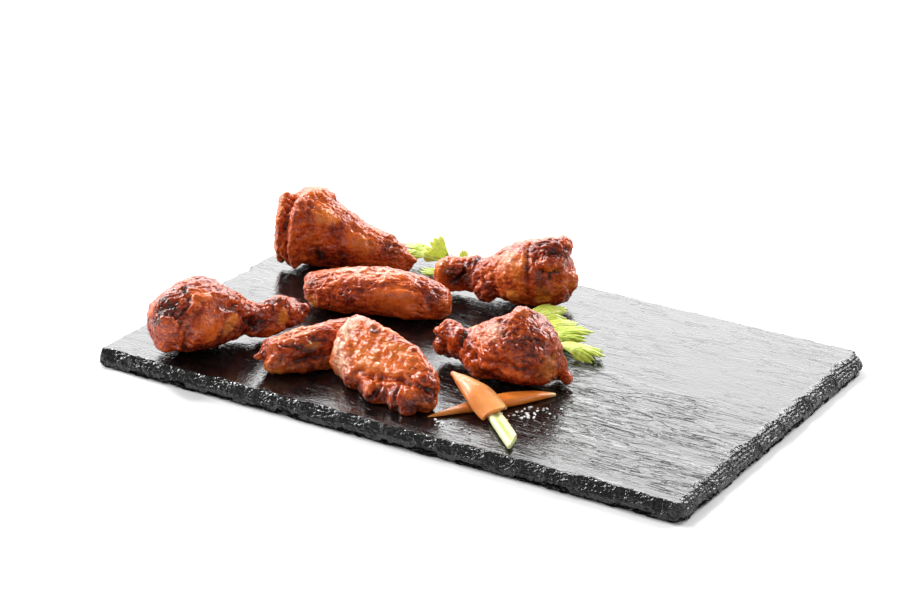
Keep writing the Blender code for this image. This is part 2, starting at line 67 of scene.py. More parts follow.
# --------------------------------------------------------------------------------------
# Seeded noise for whole meshes
# --------------------------------------------------------------------------------------
class Noise:
    """Smooth seeded noise, worked out for many points at once."""

    SIZE = 256
    LOUDNESS = 1.6
    LAYER_GAP = 17.3
    RIDGE = 1.5

    def __init__(self, seed: int) -> None:
        """Draws the lattice.

        Args:
            seed: the number that fixes every value.
        """
        chance = np.random.default_rng(seed)
        self.table = chance.permutation(self.SIZE)
        slopes = chance.normal(size=(self.SIZE, 3))
        self.slopes = slopes / np.linalg.norm(slopes, axis=1, keepdims=True)
        self.jitter = chance.random((self.SIZE, 3))

    def keys(self, cell: np.ndarray) -> np.ndarray:
        """Lattice numbers of whole cells.

        Args:
            cell: (n, 3) whole numbers.

        Returns:
            (n,) indices into the tables.
        """
        wrapped = cell & (self.SIZE - 1)
        first = self.table[wrapped[:, 0]]
        second = self.table[(first + wrapped[:, 1]) & (self.SIZE - 1)]
        return self.table[(second + wrapped[:, 2]) & (self.SIZE - 1)]

    def at(self, points: np.ndarray) -> np.ndarray:
        """Gradient noise.

        Args:
            points: (n, 3) places, one unit to a lattice cell.

        Returns:
            (n,) values, about -1 to 1.
        """
        cell = np.floor(points).astype(np.int64)
        part = points - cell
        fade = part * part * part * (part * (part * 6.0 - 15.0) + 10.0)
        total = np.zeros(len(points))
        for corner in np.ndindex(2, 2, 2):
            step = np.array(corner)
            weight = np.where(step == 1, fade, 1.0 - fade).prod(axis=1)
            slope = self.slopes[self.keys(cell + step)]
            total += weight * (slope * (part - step)).sum(axis=1)
        return total * self.LOUDNESS

    def layered(self, points: np.ndarray, layers: int = 3) -> np.ndarray:
        """Sums ever finer noise.

        Args:
            points: (n, 3) places.
            layers: how many, each twice as fine and half as strong.

        Returns:
            (n,) values, about -1 to 1.
        """
        total, share, most = np.zeros(len(points)), 1.0, 0.0
        for layer in range(layers):
            total += share * self.at(points * 2.0**layer + self.LAYER_GAP * layer)
            most += share
            share *= 0.5
        return total / most

    def folded(self, points: np.ndarray, sharpness: float = 0.7) -> np.ndarray:
        """Rounded ridges that meet in sharp valleys.

        Args:
            points: (n, 3) places.
            sharpness: lower values widen the ridges and narrow the valleys.

        Returns:
            (n,) values, 0 in a valley and about 1 on a ridge.
        """
        return np.minimum(1.0, np.abs(self.at(points)) * self.RIDGE) ** sharpness

    def cells(self, points: np.ndarray) -> np.ndarray:
        """Distance to the nearest of scattered dots.

        Args:
            points: (n, 3) places, about one dot to a unit cube.

        Returns:
            (n,) distances, 0 at a dot.
        """
        cell = np.floor(points).astype(np.int64)
        nearest = np.full(len(points), np.inf)
        for offset in np.ndindex(3, 3, 3):
            near = cell + np.array(offset) - 1
            dots = near + self.jitter[self.keys(near)]
            nearest = np.minimum(nearest, ((points - dots) ** 2).sum(axis=1))
        return np.sqrt(nearest)


def eased(values: np.ndarray, low: float, high: float) -> np.ndarray:
    """A smooth step from 0 to 1.

    Args:
        values: any array.
        low: where it leaves 0.
        high: where it reaches 1.

    Returns:
        An array of the same shape.
    """
    share = np.clip((values - low) / (high - low), 0.0, 1.0)
    return share * share * (3.0 - 2.0 * share)


# --------------------------------------------------------------------------------------
# Mesh tools
# --------------------------------------------------------------------------------------
def coordinates(mesh: bpy.types.Mesh) -> np.ndarray:
    """Vertex places of a mesh.

    Args:
        mesh: the mesh to read.

    Returns:
        (n, 3) places in millimetres.
    """
    found = np.empty(len(mesh.vertices) * 3, np.float32)
    mesh.vertices.foreach_get("co", found)
    return found.reshape(-1, 3).astype(float) / MM


def set_coordinates(mesh: bpy.types.Mesh, places: np.ndarray) -> None:
    """Moves every vertex of a mesh.

    Args:
        mesh: the mesh to change.
        places: (n, 3) places in millimetres.
    """
    mesh.vertices.foreach_set("co", (places * MM).astype(np.float32).ravel())
    mesh.update()


def normals(mesh: bpy.types.Mesh) -> np.ndarray:
    """Vertex normals of a mesh.

    Args:
        mesh: the mesh to read.

    Returns:
        (n, 3) unit vectors.
    """
    found = np.empty(len(mesh.vertices) * 3, np.float32)
    mesh.vertex_normals.foreach_get("vector", found)
    return found.reshape(-1, 3).astype(float)


def paint(mesh: bpy.types.Mesh, name: str, *channels: np.ndarray) -> None:
    """Stores up to three values for each vertex, as a colour that a material can read.

    Args:
        mesh: the mesh to paint.
        name: the attribute's name.
        channels: (n,) arrays for red, green and blue.
    """
    layer = mesh.color_attributes.new(name=name, type="FLOAT_COLOR", domain="POINT")
    values = np.ones((len(mesh.vertices), 4), np.float32)
    values[:, :3] = 0.0
    for i, channel in enumerate(channels):
        values[:, i] = np.clip(channel, 0.0, 1.0)
    layer.data.foreach_set("color", values.ravel())


def cavity(mesh: bpy.types.Mesh, rounds: int) -> np.ndarray:
    """How far each vertex lies below its smoothed surroundings, in millimetres.

    Args:
        mesh: the surface.
        rounds: how often the surroundings are averaged.

    Returns:
        (n,) depths; ridges are negative.
    """
    pairs = np.empty(len(mesh.edges) * 2, np.int32)
    mesh.edges.foreach_get("vertices", pairs)
    a, b = pairs.reshape(-1, 2).T
    places = coordinates(mesh)
    count = len(places)
    shared = np.bincount(a, minlength=count) + np.bincount(b, minlength=count)
    smooth = places.copy()
    for _ in range(rounds):
        total = [
            np.bincount(a, smooth[b, k], count) + np.bincount(b, smooth[a, k], count) for k in range(3)
        ]
        smooth = np.stack(total, axis=1) / shared[:, None]
    return ((smooth - places) * normals(mesh)).sum(axis=1)


def baked(thing: bpy.types.Object) -> bpy.types.Mesh:
    """The mesh that an object's modifiers make; the object itself is removed.

    Args:
        thing: the object to evaluate.

    Returns:
        A new mesh with the modifiers applied.
    """
    bpy.context.view_layer.update()
    graph = bpy.context.evaluated_depsgraph_get()
    mesh = bpy.data.meshes.new_from_object(thing.evaluated_get(graph))
    bpy.data.objects.remove(thing)
    return mesh


def linked(name: str, mesh: bpy.types.Mesh) -> bpy.types.Object:
    """Puts a mesh in the scene.

    Args:
        name: the new object's name.
        mesh: its mesh.

    Returns:
        The new object, at the origin.
    """
    thing = bpy.data.objects.new(name, mesh)
    bpy.context.scene.collection.objects.link(thing)
    return thing


def from_bmesh(name: str, shape: bmesh.types.BMesh) -> bpy.types.Object:
    """Turns a finished bmesh into an object and frees it.

    Args:
        name: the new object's name.
        shape: the bmesh, in metres.

    Returns:
        The new object.
    """
    mesh = bpy.data.meshes.new(name)
    shape.to_mesh(mesh)
    shape.free()
    return linked(name, mesh)


def dressed(
    thing: bpy.types.Object,
    finish: bpy.types.Material,
    slot: str,
    *nodes: str,
) -> bpy.types.Object:
    """Gives a piece its finish and its place on the frame.

    Args:
        thing: the finished piece.
        finish: its material.
        slot: not used.
        nodes: the frame's nodes that it stands for.

    Returns:
        The same piece.
    """
    thing.data.materials.clear()
    thing.data.materials.append(finish)
    thing.data.shade_smooth()
    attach(thing, ROOT)
    if nodes:
        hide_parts(*nodes)
    LOG.info("%s: %d faces", thing.name, len(thing.data.polygons))
    return thing


def merged_copy(node: str) -> bmesh.types.BMesh:
    """A copy of a frame node's mesh with its loose triangles joined.

    Args:
        node: the node's name.

    Returns:
        A new bmesh in metres.
    """
    shape = bmesh.new()
    shape.from_mesh(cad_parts[node].data)
    bmesh.ops.remove_doubles(shape, verts=shape.verts, dist=0.01 * MM)
    return shape


def grid_mesh(name: str, columns: int, rows: int) -> bpy.types.Object:
    """A flat square grid, -0.5 to 0.5 on both sides, in millimetre units.

    Args:
        name: the new object's name.
        columns: cells along X.
        rows: cells along Y.

    Returns:
        The new object.
    """
    shape = bmesh.new()
    bmesh.ops.create_grid(shape, x_segments=columns, y_segments=rows, size=0.5 * MM)
    return from_bmesh(name, shape)


def smooth_path(points: list[Point], step: float) -> np.ndarray:
    """A smooth curve through points.

    Args:
        points: the places that it passes through.
        step: the distance between the points that come back.

    Returns:
        (n, 3) places along the curve.
    """
    known = np.array(points, float)
    if len(known) < 3:
        count = max(2, int(np.linalg.norm(known[-1] - known[0]) / step))
        return known[0] + (known[-1] - known[0]) * np.linspace(0.0, 1.0, count)[:, None]
    ends = np.vstack([2 * known[0] - known[1], known, 2 * known[-1] - known[-2]])
    found = []
    for i in range(1, len(ends) - 2):
        a, b, c, d = ends[i - 1 : i + 3]
        count = max(2, int(np.linalg.norm(c - b) / step))
        t = (np.arange(count) / count)[:, None]
        found.append(
            0.5
            * (
                2 * b
                + (c - a) * t
                + (2 * a - 5 * b + 4 * c - d) * t**2
                + (3 * b - a - 3 * c + d) * t**3
            )
        )
    return np.vstack([*found, known[-1:]])


def loft(shape: bmesh.types.BMesh, rings: list[np.ndarray]) -> None:
    """Adds a closed shell through rings of points.

    Args:
        shape: the bmesh to add to, in metres.
        rings: each (n, 3) places in millimetres, all with the same n.
    """
    loops = []
    for ring in rings:
        made = bmesh.ops.create_circle(shape, segments=len(ring), radius=1.0)["verts"]
        for vert, at in zip(made, ring):
            vert.co = Vector(at) * MM
        loops.append(list({e for v in made for e in v.link_edges}))
    for low, high in zip(loops, loops[1:]):
        bmesh.ops.bridge_loops(shape, edges=low + high)
    for end in (loops[0], loops[-1]):
        bmesh.ops.contextual_create(shape, geom=end)
    bmesh.ops.recalc_face_normals(shape, faces=shape.faces)


def tube(shape: bmesh.types.BMesh, path: np.ndarray, radii: np.ndarray, sides: int = 12) -> None:
    """Adds a closed tube along a path.

    Args:
        shape: the bmesh to add to, in metres.
        path: (n, 3) places in millimetres.
        radii: (n,) radii in millimetres.
        sides: corners of the cross-section.
    """
    angles = np.arange(sides) * 2 * math.pi / sides
    rings = []
    for i, (at, radius) in enumerate(zip(path, radii)):
        ahead = Vector(path[min(i + 1, len(path) - 1)] - path[max(i - 1, 0)])
        turn = np.array(ahead.to_track_quat("Z", "Y").to_matrix())
        flat = np.stack([np.cos(angles), np.sin(angles), np.zeros(sides)], axis=1) * radius
        rings.append(at + flat @ turn.T)
    loft(shape, rings)


def flat_tree(points: np.ndarray) -> KDTree:
    """A search tree of places on the board's plane.

    Args:
        points: (n, 2) places.

    Returns:
        The tree, which gives back each place's number.
    """
    tree = KDTree(len(points))
    for k, at in enumerate(points):
        tree.insert((at[0], at[1], 0.0), k)
    tree.balance()
    return tree


# --------------------------------------------------------------------------------------
# Finishes
# --------------------------------------------------------------------------------------
class Shading:
    """A Principled material under construction."""

    def __init__(self, name: str) -> None:
        """Starts the material.

        Args:
            name: the material's name.
        """
        self.material = bpy.data.materials.new(name)
        self.material.use_nodes = True
        self.nodes = self.material.node_tree.nodes
        self.links = self.material.node_tree.links
        self.shader = self.nodes["Principled BSDF"]
        self.place = self.nodes.new("ShaderNodeTexCoord").outputs["Object"]

    def set(self, **values: float | tuple) -> None:
        """Sets the shader's own sockets.

        Args:
            values: a value for each socket's name, with underscores for its spaces.
        """
        for name, value in values.items():
            self.shader.inputs[name.replace("_", " ")].default_value = value

    def feed(self, socket: str, source: Socket) -> None:
        """Links a source to one of the shader's sockets.

        Args:
            socket: the socket's name.
            source: what feeds it.
        """
        self.links.new(source, self.shader.inputs[socket])

    def stretched(self, scale: Point, turn: Point = (0.0, 0.0, 0.0)) -> Socket:
        """Object coordinates scaled and turned.

        Args:
            scale: repeats per metre along each axis.
            turn: degrees about each axis.

        Returns:
            A vector socket.
        """
        node = self.nodes.new("ShaderNodeMapping")
        node.inputs["Scale"].default_value = scale
        node.inputs["Rotation"].default_value = [math.radians(t) for t in turn]
        self.links.new(self.place, node.inputs["Vector"])
        return node.outputs["Vector"]

    def noise(
        self,
        scale: float,
        detail: float = 3.0,
        source: Socket | None = None,
        distortion: float = 0.0,
    ) -> Socket:
        """Cloudy noise.

        Args:
            scale: repeats per unit of the source.
            detail: how many finer layers it has.
            source: the coordinates, or None for the object's own.
            distortion: how much it is warped.

        Returns:
            A value socket, 0 to 1.
        """
        node = self.nodes.new("ShaderNodeTexNoise")
        node.inputs["Scale"].default_value = scale
        node.inputs["Detail"].default_value = detail
        node.inputs["Distortion"].default_value = distortion
        self.links.new(source or self.place, node.inputs["Vector"])
        return node.outputs["Fac"]

    def dots(self, scale: float) -> Socket:
        """Distance from scattered dots.

        Args:
            scale: dots per metre.

        Returns:
            A value socket.
        """
        node = self.nodes.new("ShaderNodeTexVoronoi")
        node.inputs["Scale"].default_value = scale
        self.links.new(self.place, node.inputs["Vector"])
        return node.outputs["Distance"]

    def attribute(self, name: str) -> tuple[Socket, ...]:
        """The three channels of a painted attribute.

        Args:
            name: the attribute's name.

        Returns:
            Three value sockets.
        """
        node = self.nodes.new("ShaderNodeAttribute")
        node.attribute_name = name
        split = self.nodes.new("ShaderNodeSeparateColor")
        self.links.new(node.outputs["Color"], split.inputs["Color"])
        return tuple(split.outputs)

    def math(
        self,
        kind: str,
        a: Socket | float,
        b: Socket | float = 0.0,
        c: Socket | float = 0.0,
    ) -> Socket:
        """One sum on values.

        Args:
            kind: Blender's name of the sum.
            a: first value or socket.
            b: second value or socket.
            c: third value or socket.

        Returns:
            A value socket.
        """
        node = self.nodes.new("ShaderNodeMath")
        node.operation = kind
        for socket, value in zip(node.inputs, (a, b, c)):
            if isinstance(value, (int, float)):
                socket.default_value = value
            else:
                self.links.new(value, socket)
        return node.outputs["Value"]

    def ranged(
        self, source: Socket, low: float, high: float, to_low: float, to_high: float
    ) -> Socket:
        """A value moved smoothly from one range to another.

        Args:
            source: the value.
            low: where the old range starts.
            high: where it ends.
            to_low: where the new range starts.
            to_high: where it ends.

        Returns:
            A value socket, held inside the new range.
        """
        node = self.nodes.new("ShaderNodeMapRange")
        node.interpolation_type = "SMOOTHSTEP"
        self.links.new(source, node.inputs["Value"])
        for name, value in (("From Min", low), ("From Max", high), ("To Min", to_low), ("To Max", to_high)):
            node.inputs[name].default_value = value
        return node.outputs["Result"]

    def held(self, source: Socket) -> Socket:
        """A value held between 0 and 1.

        Args:
            source: the value.

        Returns:
            A value socket.
        """
        return self.math("MINIMUM", self.math("MAXIMUM", source, 0.0), 1.0)

    def ramp(
        self, source: Socket, stops: tuple[tuple[float, Colour], ...]
    ) -> Socket:
        """Colours along a value.

        Args:
            source: the value, 0 to 1.
            stops: each a place and a colour.

        Returns:
            A colour socket.
        """
        node = self.nodes.new("ShaderNodeValToRGB")
        elements = node.color_ramp.elements
        while len(elements) < len(stops):
            elements.new(0.5)
        for element, (at, colour) in zip(elements, stops):
            element.position = at
            element.color = (*colour, 1.0)
        self.links.new(source, node.inputs["Fac"])
        return node.outputs["Color"]

    def mix(
        self,
        share: Socket,
        a: Socket | Colour,
        b: Socket | Colour,
    ) -> Socket:
        """A blend of two colours.

        Args:
            share: how much of the second, 0 to 1.
            a: the first colour.
            b: the second colour.

        Returns:
            A colour socket.
        """
        node = self.nodes.new("ShaderNodeMix")
        node.data_type = "RGBA"
        self.links.new(share, node.inputs[0])
        for socket, value in ((node.inputs[6], a), (node.inputs[7], b)):
            if isinstance(value, tuple):
                socket.default_value = (*value, 1.0)
            else:
                self.links.new(value, socket)
        return node.outputs[2]

    def bump(self, *heights: tuple[Socket, float, float]) -> None:
        """Relief too fine for the mesh.

        Args:
            heights: each a value, a strength and a depth in millimetres.
        """
        before = None
        for source, strength, depth in heights:
            node = self.nodes.new("ShaderNodeBump")
            node.inputs["Strength"].default_value = strength
            node.inputs["Distance"].default_value = depth * MM
            self.links.new(source, node.inputs["Height"])
            if before is not None:
                self.links.new(before, node.inputs["Normal"])
            before = node.outputs["Normal"]
        self.feed("Normal", before)


@dataclass(frozen=True)
class SlateFinish:
    """Cleft slate: near black, with a sheen that fine ripples break up."""

    name: str = "slate"
    dark: Colour = (0.003, 0.003, 0.003)
    light: Colour = (0.008, 0.0075, 0.0075)
    dust: Colour = (0.02, 0.019, 0.019)
    broken: Colour = (0.024, 0.0235, 0.023)
    smoothest: float = 0.08
    roughest: float = 0.14

    def build(self) -> bpy.types.Material:
        """Wires the material.

        Returns:
            The material.
        """
        made = Shading(self.name)
        rim, worn, _ = made.attribute("rim")
        long_grain = made.noise(1.0, 6.0, made.stretched((28.0, 230.0, 60.0), (0, 0, -9)), 0.7)
        grain = made.noise(1.0, 8.0, made.stretched((120.0, 900.0, 300.0), (0, 0, -12)), 0.4)
        fine = made.noise(2600.0, 4.0)
        clouds = made.noise(22.0, 4.0)
        cracks = self.cracks(made, (38.0, 190.0, 60.0), -9.0, 0.035)
        hairs = self.cracks(made, (80.0, 330.0, 200.0), -13.0, 0.045)
        patches = made.noise(1.0, 2.0, made.stretched((24.0, 80.0, 30.0)))
        worn = made.math("MULTIPLY", worn, made.ranged(patches, 0.36, 0.54, 0.15, 1.0))
        pits = made.ranged(made.dots(420.0), 0.05, 0.22, 0.0, 1.0)
        tone = made.math("MULTIPLY", long_grain, grain)
        base = made.mix(made.ranged(tone, 0.12, 0.4, 0.0, 1.0), self.dark, self.light)
        dusty = made.ranged(fine, 0.62, 0.8, 0.0, 0.5)
        dusty = made.math("MULTIPLY", dusty, made.ranged(clouds, 0.4, 0.7, 0.2, 1.0))
        base = made.mix(dusty, base, self.dust)
        chipped = made.math("MULTIPLY", rim, made.ranged(fine, 0.35, 0.65, 0.2, 1.0))
        made.feed("Base Color", made.mix(chipped, base, self.broken))
        rough = made.ranged(grain, 0.3, 0.75, self.smoothest, self.roughest)
        made.feed("Roughness", made.math("ADD", rough, made.math("MULTIPLY", rim, 0.04)))
        made.set(Specular_IOR_Level=0.5)
        stipple = made.noise(800.0, 2.0)
        made.bump(
            (long_grain, 0.3, 0.04),
            (stipple, 0.5, 0.22),
            (made.math("MULTIPLY", cracks, worn), 0.9, 0.30),
            (made.math("MULTIPLY", hairs, worn), 0.6, 0.09),
            (pits, 0.5, 0.10),
            (made.math("MULTIPLY", made.noise(420.0, 2.0), rim), 0.8, 0.9),
        )
        return made.material

    @staticmethod
    def cracks(made: Shading, stretch: Point, lean: float, width: float) -> Socket:
        """Thin wandering lines: nothing on them, one elsewhere.

        Args:
            made: the shading to add to.
            stretch: how finely the lines lie along, across and down, per metre.
            lean: their angle to the board, in degrees.
            width: how wide they are, as a share of the noise.

        Returns:
            The height they cut.
        """
        wave = made.noise(1.0, 1.5, made.stretched(stretch, (0.0, 0.0, lean)), 1.2)
        off = made.math("ABSOLUTE", made.math("SUBTRACT", wave, 0.5))
        return made.ranged(off, 0.0, width, 0.0, 1.0)


@dataclass(frozen=True)
class SkinFinish:
    """Roasted skin under an oily glaze, from golden to nearly black, with painted shade in its darker tones,
    a painted glint and a painted pale sheen.
    """

    name: str
    gold: Colour = (0.76, 0.17, 0.030)
    tan: Colour = (0.59, 0.105, 0.018)
    brown: Colour = (0.35, 0.042, 0.010)
    dark: Colour = (0.12, 0.016, 0.007)
    # Nearly black; painted shade in hollows and on shaded sides reaches it too.
    burnt_and_shade: Colour = (0.036, 0.009, 0.006)
    # Golden fatty skin, also the colour of a painted glint.
    fat_and_glint: Colour = (0.80, 0.28, 0.045)
    # Colour of the painted sheen, a pale highlight where light catches the skin.
    painted_sheen: Colour = (0.88, 0.55, 0.38)

    def build(self) -> bpy.types.Material:
        """Wires the material.

        Returns:
            The material.
        """
        made = Shading(self.name)
        # First channel: the tone, with painted shade in it. Second: charring and painted shade. Third: golden
        # fatty skin and a painted glint.
        roast, char_and_shade, fat_and_glint = made.attribute("skin")
        # Mask of the painted sheen.
        painted_sheen, _, _ = made.attribute("painted_sheen")
        speckle = made.noise(820.0, 5.0, distortion=0.4)
        mottle = made.noise(300.0, 4.0, distortion=0.8)
        tone = made.math("ADD", roast, made.ranged(speckle, 0.32, 0.68, -0.09, 0.09))
        tone = made.math("ADD", tone, made.ranged(mottle, 0.3, 0.7, -0.14, 0.14))
        shades = (self.gold, self.tan, self.brown, self.dark, self.burnt_and_shade)
        colour = made.ramp(tone, tuple(zip((0.0, 0.3, 0.58, 0.82, 1.0), shades)))
        # Golden fatty skin and a painted glint, patchy with the speckle.
        golden = made.math("MULTIPLY", fat_and_glint, made.ranged(speckle, 0.3, 0.6, 0.5, 1.0))
        colour = made.mix(golden, colour, self.fat_and_glint)
        # Painted highlight: the pale sheen, patchy with the mottle.
        pale = made.math("MULTIPLY", painted_sheen, made.ranged(mottle, 0.42, 0.58, 1.0, 0.25))
        colour = made.mix(pale, colour, self.painted_sheen)
        # Charring and painted shade darken the colour toward nearly black.
        singed_and_shaded = made.math("MULTIPLY", char_and_shade, made.ranged(mottle, 0.35, 0.6, 0.4, 1.0))
        made.feed("Base Color", made.mix(singed_and_shaded, colour, self.burnt_and_shade))
        made.feed("Roughness", made.ranged(mottle, 0.3, 0.7, 0.10, 0.22))
        made.set(
            Specular_IOR_Level=0.42,
            Subsurface_Weight=0.08,
            Subsurface_Radius=(1.0, 0.28, 0.12),
            Subsurface_Scale=1.6 * MM,
        )
        beads = made.noise(900.0, 1.0)
        made.bump((mottle, 0.6, 0.5), (beads, 0.7, 0.34))
        return made.material


@dataclass(frozen=True)
class LeafFinish:
    """A thin fresh leaf with paler veins; it lets light through."""

    name: str
    green: Colour = (0.40, 0.56, 0.012)
    pale: Colour = (0.70, 0.76, 0.16)
    vein: Colour = (0.76, 0.82, 0.30)

    def build(self) -> bpy.types.Material:
        """Wires the material.

        Returns:
            The material.
        """
        made = Shading(self.name)
        vein, paleness, _ = made.attribute("leaf")
        cloud = made.noise(240.0, 4.0)
        share = made.math("ADD", paleness, made.ranged(cloud, 0.3, 0.7, -0.15, 0.15))
        colour = made.mix(made.held(share), self.green, self.pale)
        made.feed("Base Color", made.mix(made.math("MULTIPLY", vein, 0.75), colour, self.vein))
        made.feed("Roughness", made.ranged(cloud, 0.3, 0.7, 0.34, 0.5))
        made.set(
            Subsurface_Weight=0.7,
            Subsurface_Radius=(0.8, 1.0, 0.15),
            Subsurface_Scale=1.2 * MM,
            Coat_Weight=0.15,
            Coat_Roughness=0.25,
        )
        made.bump((made.noise(900.0, 4.0), 0.35, 0.2), (vein, 0.5, 0.2))
        return made.material


@dataclass(frozen=True)
class RootFinish:
    """Moist cut carrot: orange with fine fibres and a paler heart."""

    name: str
    deep: Colour = (0.94, 0.25, 0.025)
    pale: Colour = (0.92, 0.42, 0.13)
    heart: Colour = (0.90, 0.60, 0.24)
    shine: float = 0.34

    def build(self) -> bpy.types.Material:
        """Wires the material.

        Returns:
            The material.
        """
        made = Shading(self.name)
        # On the carrot hood the first channel carries painted light and shade as well as paleness.
        paleness, heart, _ = made.attribute("flesh")
        fibre = made.noise(1.0, 5.0, made.stretched((500.0, 500.0, 500.0)), 1.0)
        fine = made.noise(2200.0, 3.0)
        share = made.math("ADD", paleness, made.ranged(fibre, 0.3, 0.7, -0.12, 0.12))
        colour = made.mix(made.held(share), self.deep, self.pale)
        made.feed("Base Color", made.mix(heart, colour, self.heart))
        made.feed("Roughness", made.ranged(fibre, 0.3, 0.7, self.shine, self.shine + 0.14))
        made.set(
            Subsurface_Weight=0.35,
            Subsurface_Radius=(1.0, 0.4, 0.12),
            Subsurface_Scale=2.0 * MM,
            Coat_Weight=0.2,
            Coat_Roughness=0.2,
        )
        made.bump((fibre, 0.25, 0.25), (fine, 0.3, 0.08))
        return made.material


@dataclass(frozen=True)
class StalkFinish:
    """Cut celery: pale ribs with a green middle."""

    name: str = "celery_flesh"
    pale: Colour = (0.80, 0.79, 0.45)
    green: Colour = (0.36, 0.52, 0.03)

    def build(self) -> bpy.types.Material:
        """Wires the material.

        Returns:
            The material.
        """
        made = Shading(self.name)
        green, _, _ = made.attribute("flesh")
        fibre = made.noise(700.0, 4.0)
        share = made.math("MULTIPLY", green, made.ranged(fibre, 0.25, 0.6, 0.7, 1.0))
        made.feed("Base Color", made.mix(share, self.pale, self.green))
        made.feed("Roughness", made.ranged(fibre, 0.3, 0.7, 0.32, 0.48))
        made.set(
            Subsurface_Weight=0.4,
            Subsurface_Radius=(0.9, 1.0, 0.4),
            Subsurface_Scale=1.6 * MM,
            Coat_Weight=0.2,
            Coat_Roughness=0.2,
        )
        made.bump((fibre, 0.3, 0.2))
        return made.material


@dataclass(frozen=True)
class SaltFinish:
    """White salt crystals, cloudy here and clear there."""

    name: str = "salt"

    def build(self) -> bpy.types.Material:
        """Wires the material.

        Returns:
            The material.
        """
        made = Shading(self.name)
        cloud = made.noise(1800.0, 3.0)
        made.feed("Base Color", made.ramp(cloud, ((0.3, (0.93, 0.92, 0.91)), (0.7, (1.0, 1.0, 1.0)))))
        made.feed("Roughness", made.ranged(cloud, 0.3, 0.7, 0.2, 0.45))
        made.set(Subsurface_Weight=0.5, Subsurface_Radius=(1.0, 1.0, 1.0), Subsurface_Scale=1.0 * MM)
        made.bump((cloud, 0.4, 0.15))
        return made.material


@dataclass(frozen=True)
class FloorFinish:
    """A plain pale table."""

    name: str = "pale_floor"
    colour: Colour = (0.86, 0.86, 0.86)

    def build(self) -> bpy.types.Material:
        """Wires the material.

        Returns:
            The material.
        """
        made = Shading(self.name)
        made.set(Base_Color=(*self.colour, 1.0), Roughness=0.9, Specular_IOR_Level=0.1)
        return made.material


# --------------------------------------------------------------------------------------
# The wings
# --------------------------------------------------------------------------------------
class Mark(Enum):
    """What a patch does to the skin under it."""

    # Browner skin, and painted shade on sides and undersides turned from the light.
    ROAST_AND_SHADE = "browner"
    # Lighter skin, and painted light on tops and faces that catch the light.
    PALE = "lighter"
    # Charred skin, and painted shade in hollows and beneath overhangs.
    CHAR_AND_SHADE = "burnt_and_shade"
    # Golden fatty skin or gristle, and a painted orange glint.
    FAT_AND_GLINT = "golden fat or gristle"
    # Painted highlight: a pale sheen where light catches the skin, not dry skin.
    PAINTED_SHEEN = "pale dry skin"
    TAUT = "stretched smooth"
    ROUGH = "more wrinkled"


@dataclass(frozen=True)
class Patch:
    """A soft-edged patch of skin: its middle and its reach along, across and up."""

    mark: Mark
    at: Point
    reach: Point
    share: float = 1.0

    def cover(self, places: np.ndarray, wobble: np.ndarray) -> np.ndarray:
        """How strongly the patch covers each point.

        Args:
            places: (n, 3) places in the wing's own axes.
            wobble: (n,) noise that roughens the patch's border.

        Returns:
            (n,) values, 0 to 1.
        """
        off = (places - np.array(self.at)) / np.array(self.reach)
        reached = np.sqrt((off**2).sum(axis=1)) + wobble * 0.35
        return self.share * (1.0 - eased(reached, 0.55, 1.1))


@dataclass(frozen=True)
class Lump:
    """Extra meat, skin or gristle melted into a wing: its middle, full size and turn in degrees."""

    at: Point
    size: Point
    turn: Point = (0.0, 0.0, 0.0)

    def matrix(self, _: BVHTree) -> Matrix:
        """Where a unit ball goes to become the lump.

        Args:
            _: the wing's plain surface, which a lump doesn't need.

        Returns:
            The ball's placement in the wing's axes.
        """
        turn = Euler([math.radians(t) for t in self.turn]).to_matrix().to_4x4()
        return Matrix.Translation(self.at) @ turn @ Matrix.Diagonal((*(Vector(self.size) / 2), 1.0))


@dataclass(frozen=True)
class Bulge:
    """A lump that sits on the skin: a place near it, its length, width and depth, how proud it stands."""

    at: Point
    size: Point
    proud: float = 1.5
    heading: float = 0.0

    def matrix(self, skin: BVHTree) -> Matrix:
        """Where a unit ball goes to become the bulge.

        Args:
            skin: the wing's plain surface, in its own axes.

        Returns:
            The ball's placement in the wing's axes.
        """
        touch, out = skin.find_nearest(Vector(self.at))[:2]
        along = Vector((1.0, 0.0, 0.0))
        along = (along - out * along.dot(out)).normalized()
        along = Matrix.Rotation(math.radians(self.heading), 3, out) @ along
        size = Vector(self.size) / 2
        turn = Matrix((along * size.x, out.cross(along) * size.y, out * size.z)).transposed()
        return Matrix.Translation(touch + out * (self.proud - size.z)) @ turn.to_4x4()


@dataclass(frozen=True)
class Fold:
    """A roll of skin (height over 0) or a crease (height under 0) along a path near the surface."""

    path: tuple[Point, ...]
    width: float
    height: float


@dataclass(frozen=True)
class SkinRelief:
    """The sizes of a roasted skin's relief, in millimetres.

    Each pair is how long a kind of relief is and how far it lifts, cuts or shifts the skin. The two
    stretches draw lines out along the wing, middle is the level that ridges are lifted from, and
    clearance keeps the skin off the board.
    """

    border_length: float = 5.0
    broad: Pair = (9.0, 0.7)
    knob: Pair = (4.2, 0.55)
    sway: Pair = (7.0, 1.8)
    warp: Pair = (5.0, 2.4)
    streak_stretch: float = 0.28
    crease_stretch: float = 0.45
    crease: Pair = (6.5, 0.6)
    crease_patch_length: float = 8.0
    streak: Pair = (2.8, 0.50)
    fine: Pair = (1.5, 0.26)
    small: Pair = (2.2, 0.12)
    pebble: Pair = (1.35, 0.07)
    middle: float = 0.6
    clearance: float = 0.04


@dataclass(frozen=True)
class Wrinkles:
    """A skin's wrinkles at each vertex.

    drift is each place after the skin is stretched this way and that. amount says how wrinkled the
    skin is there. crease, streak and pebbles are 1 on a sharp line, a long ridge and a fine bead.
    height is what they add up to, in millimetres.
    """

    drift: np.ndarray
    amount: np.ndarray
    crease: np.ndarray
    streak: np.ndarray
    pebbles: np.ndarray
    height: np.ndarray


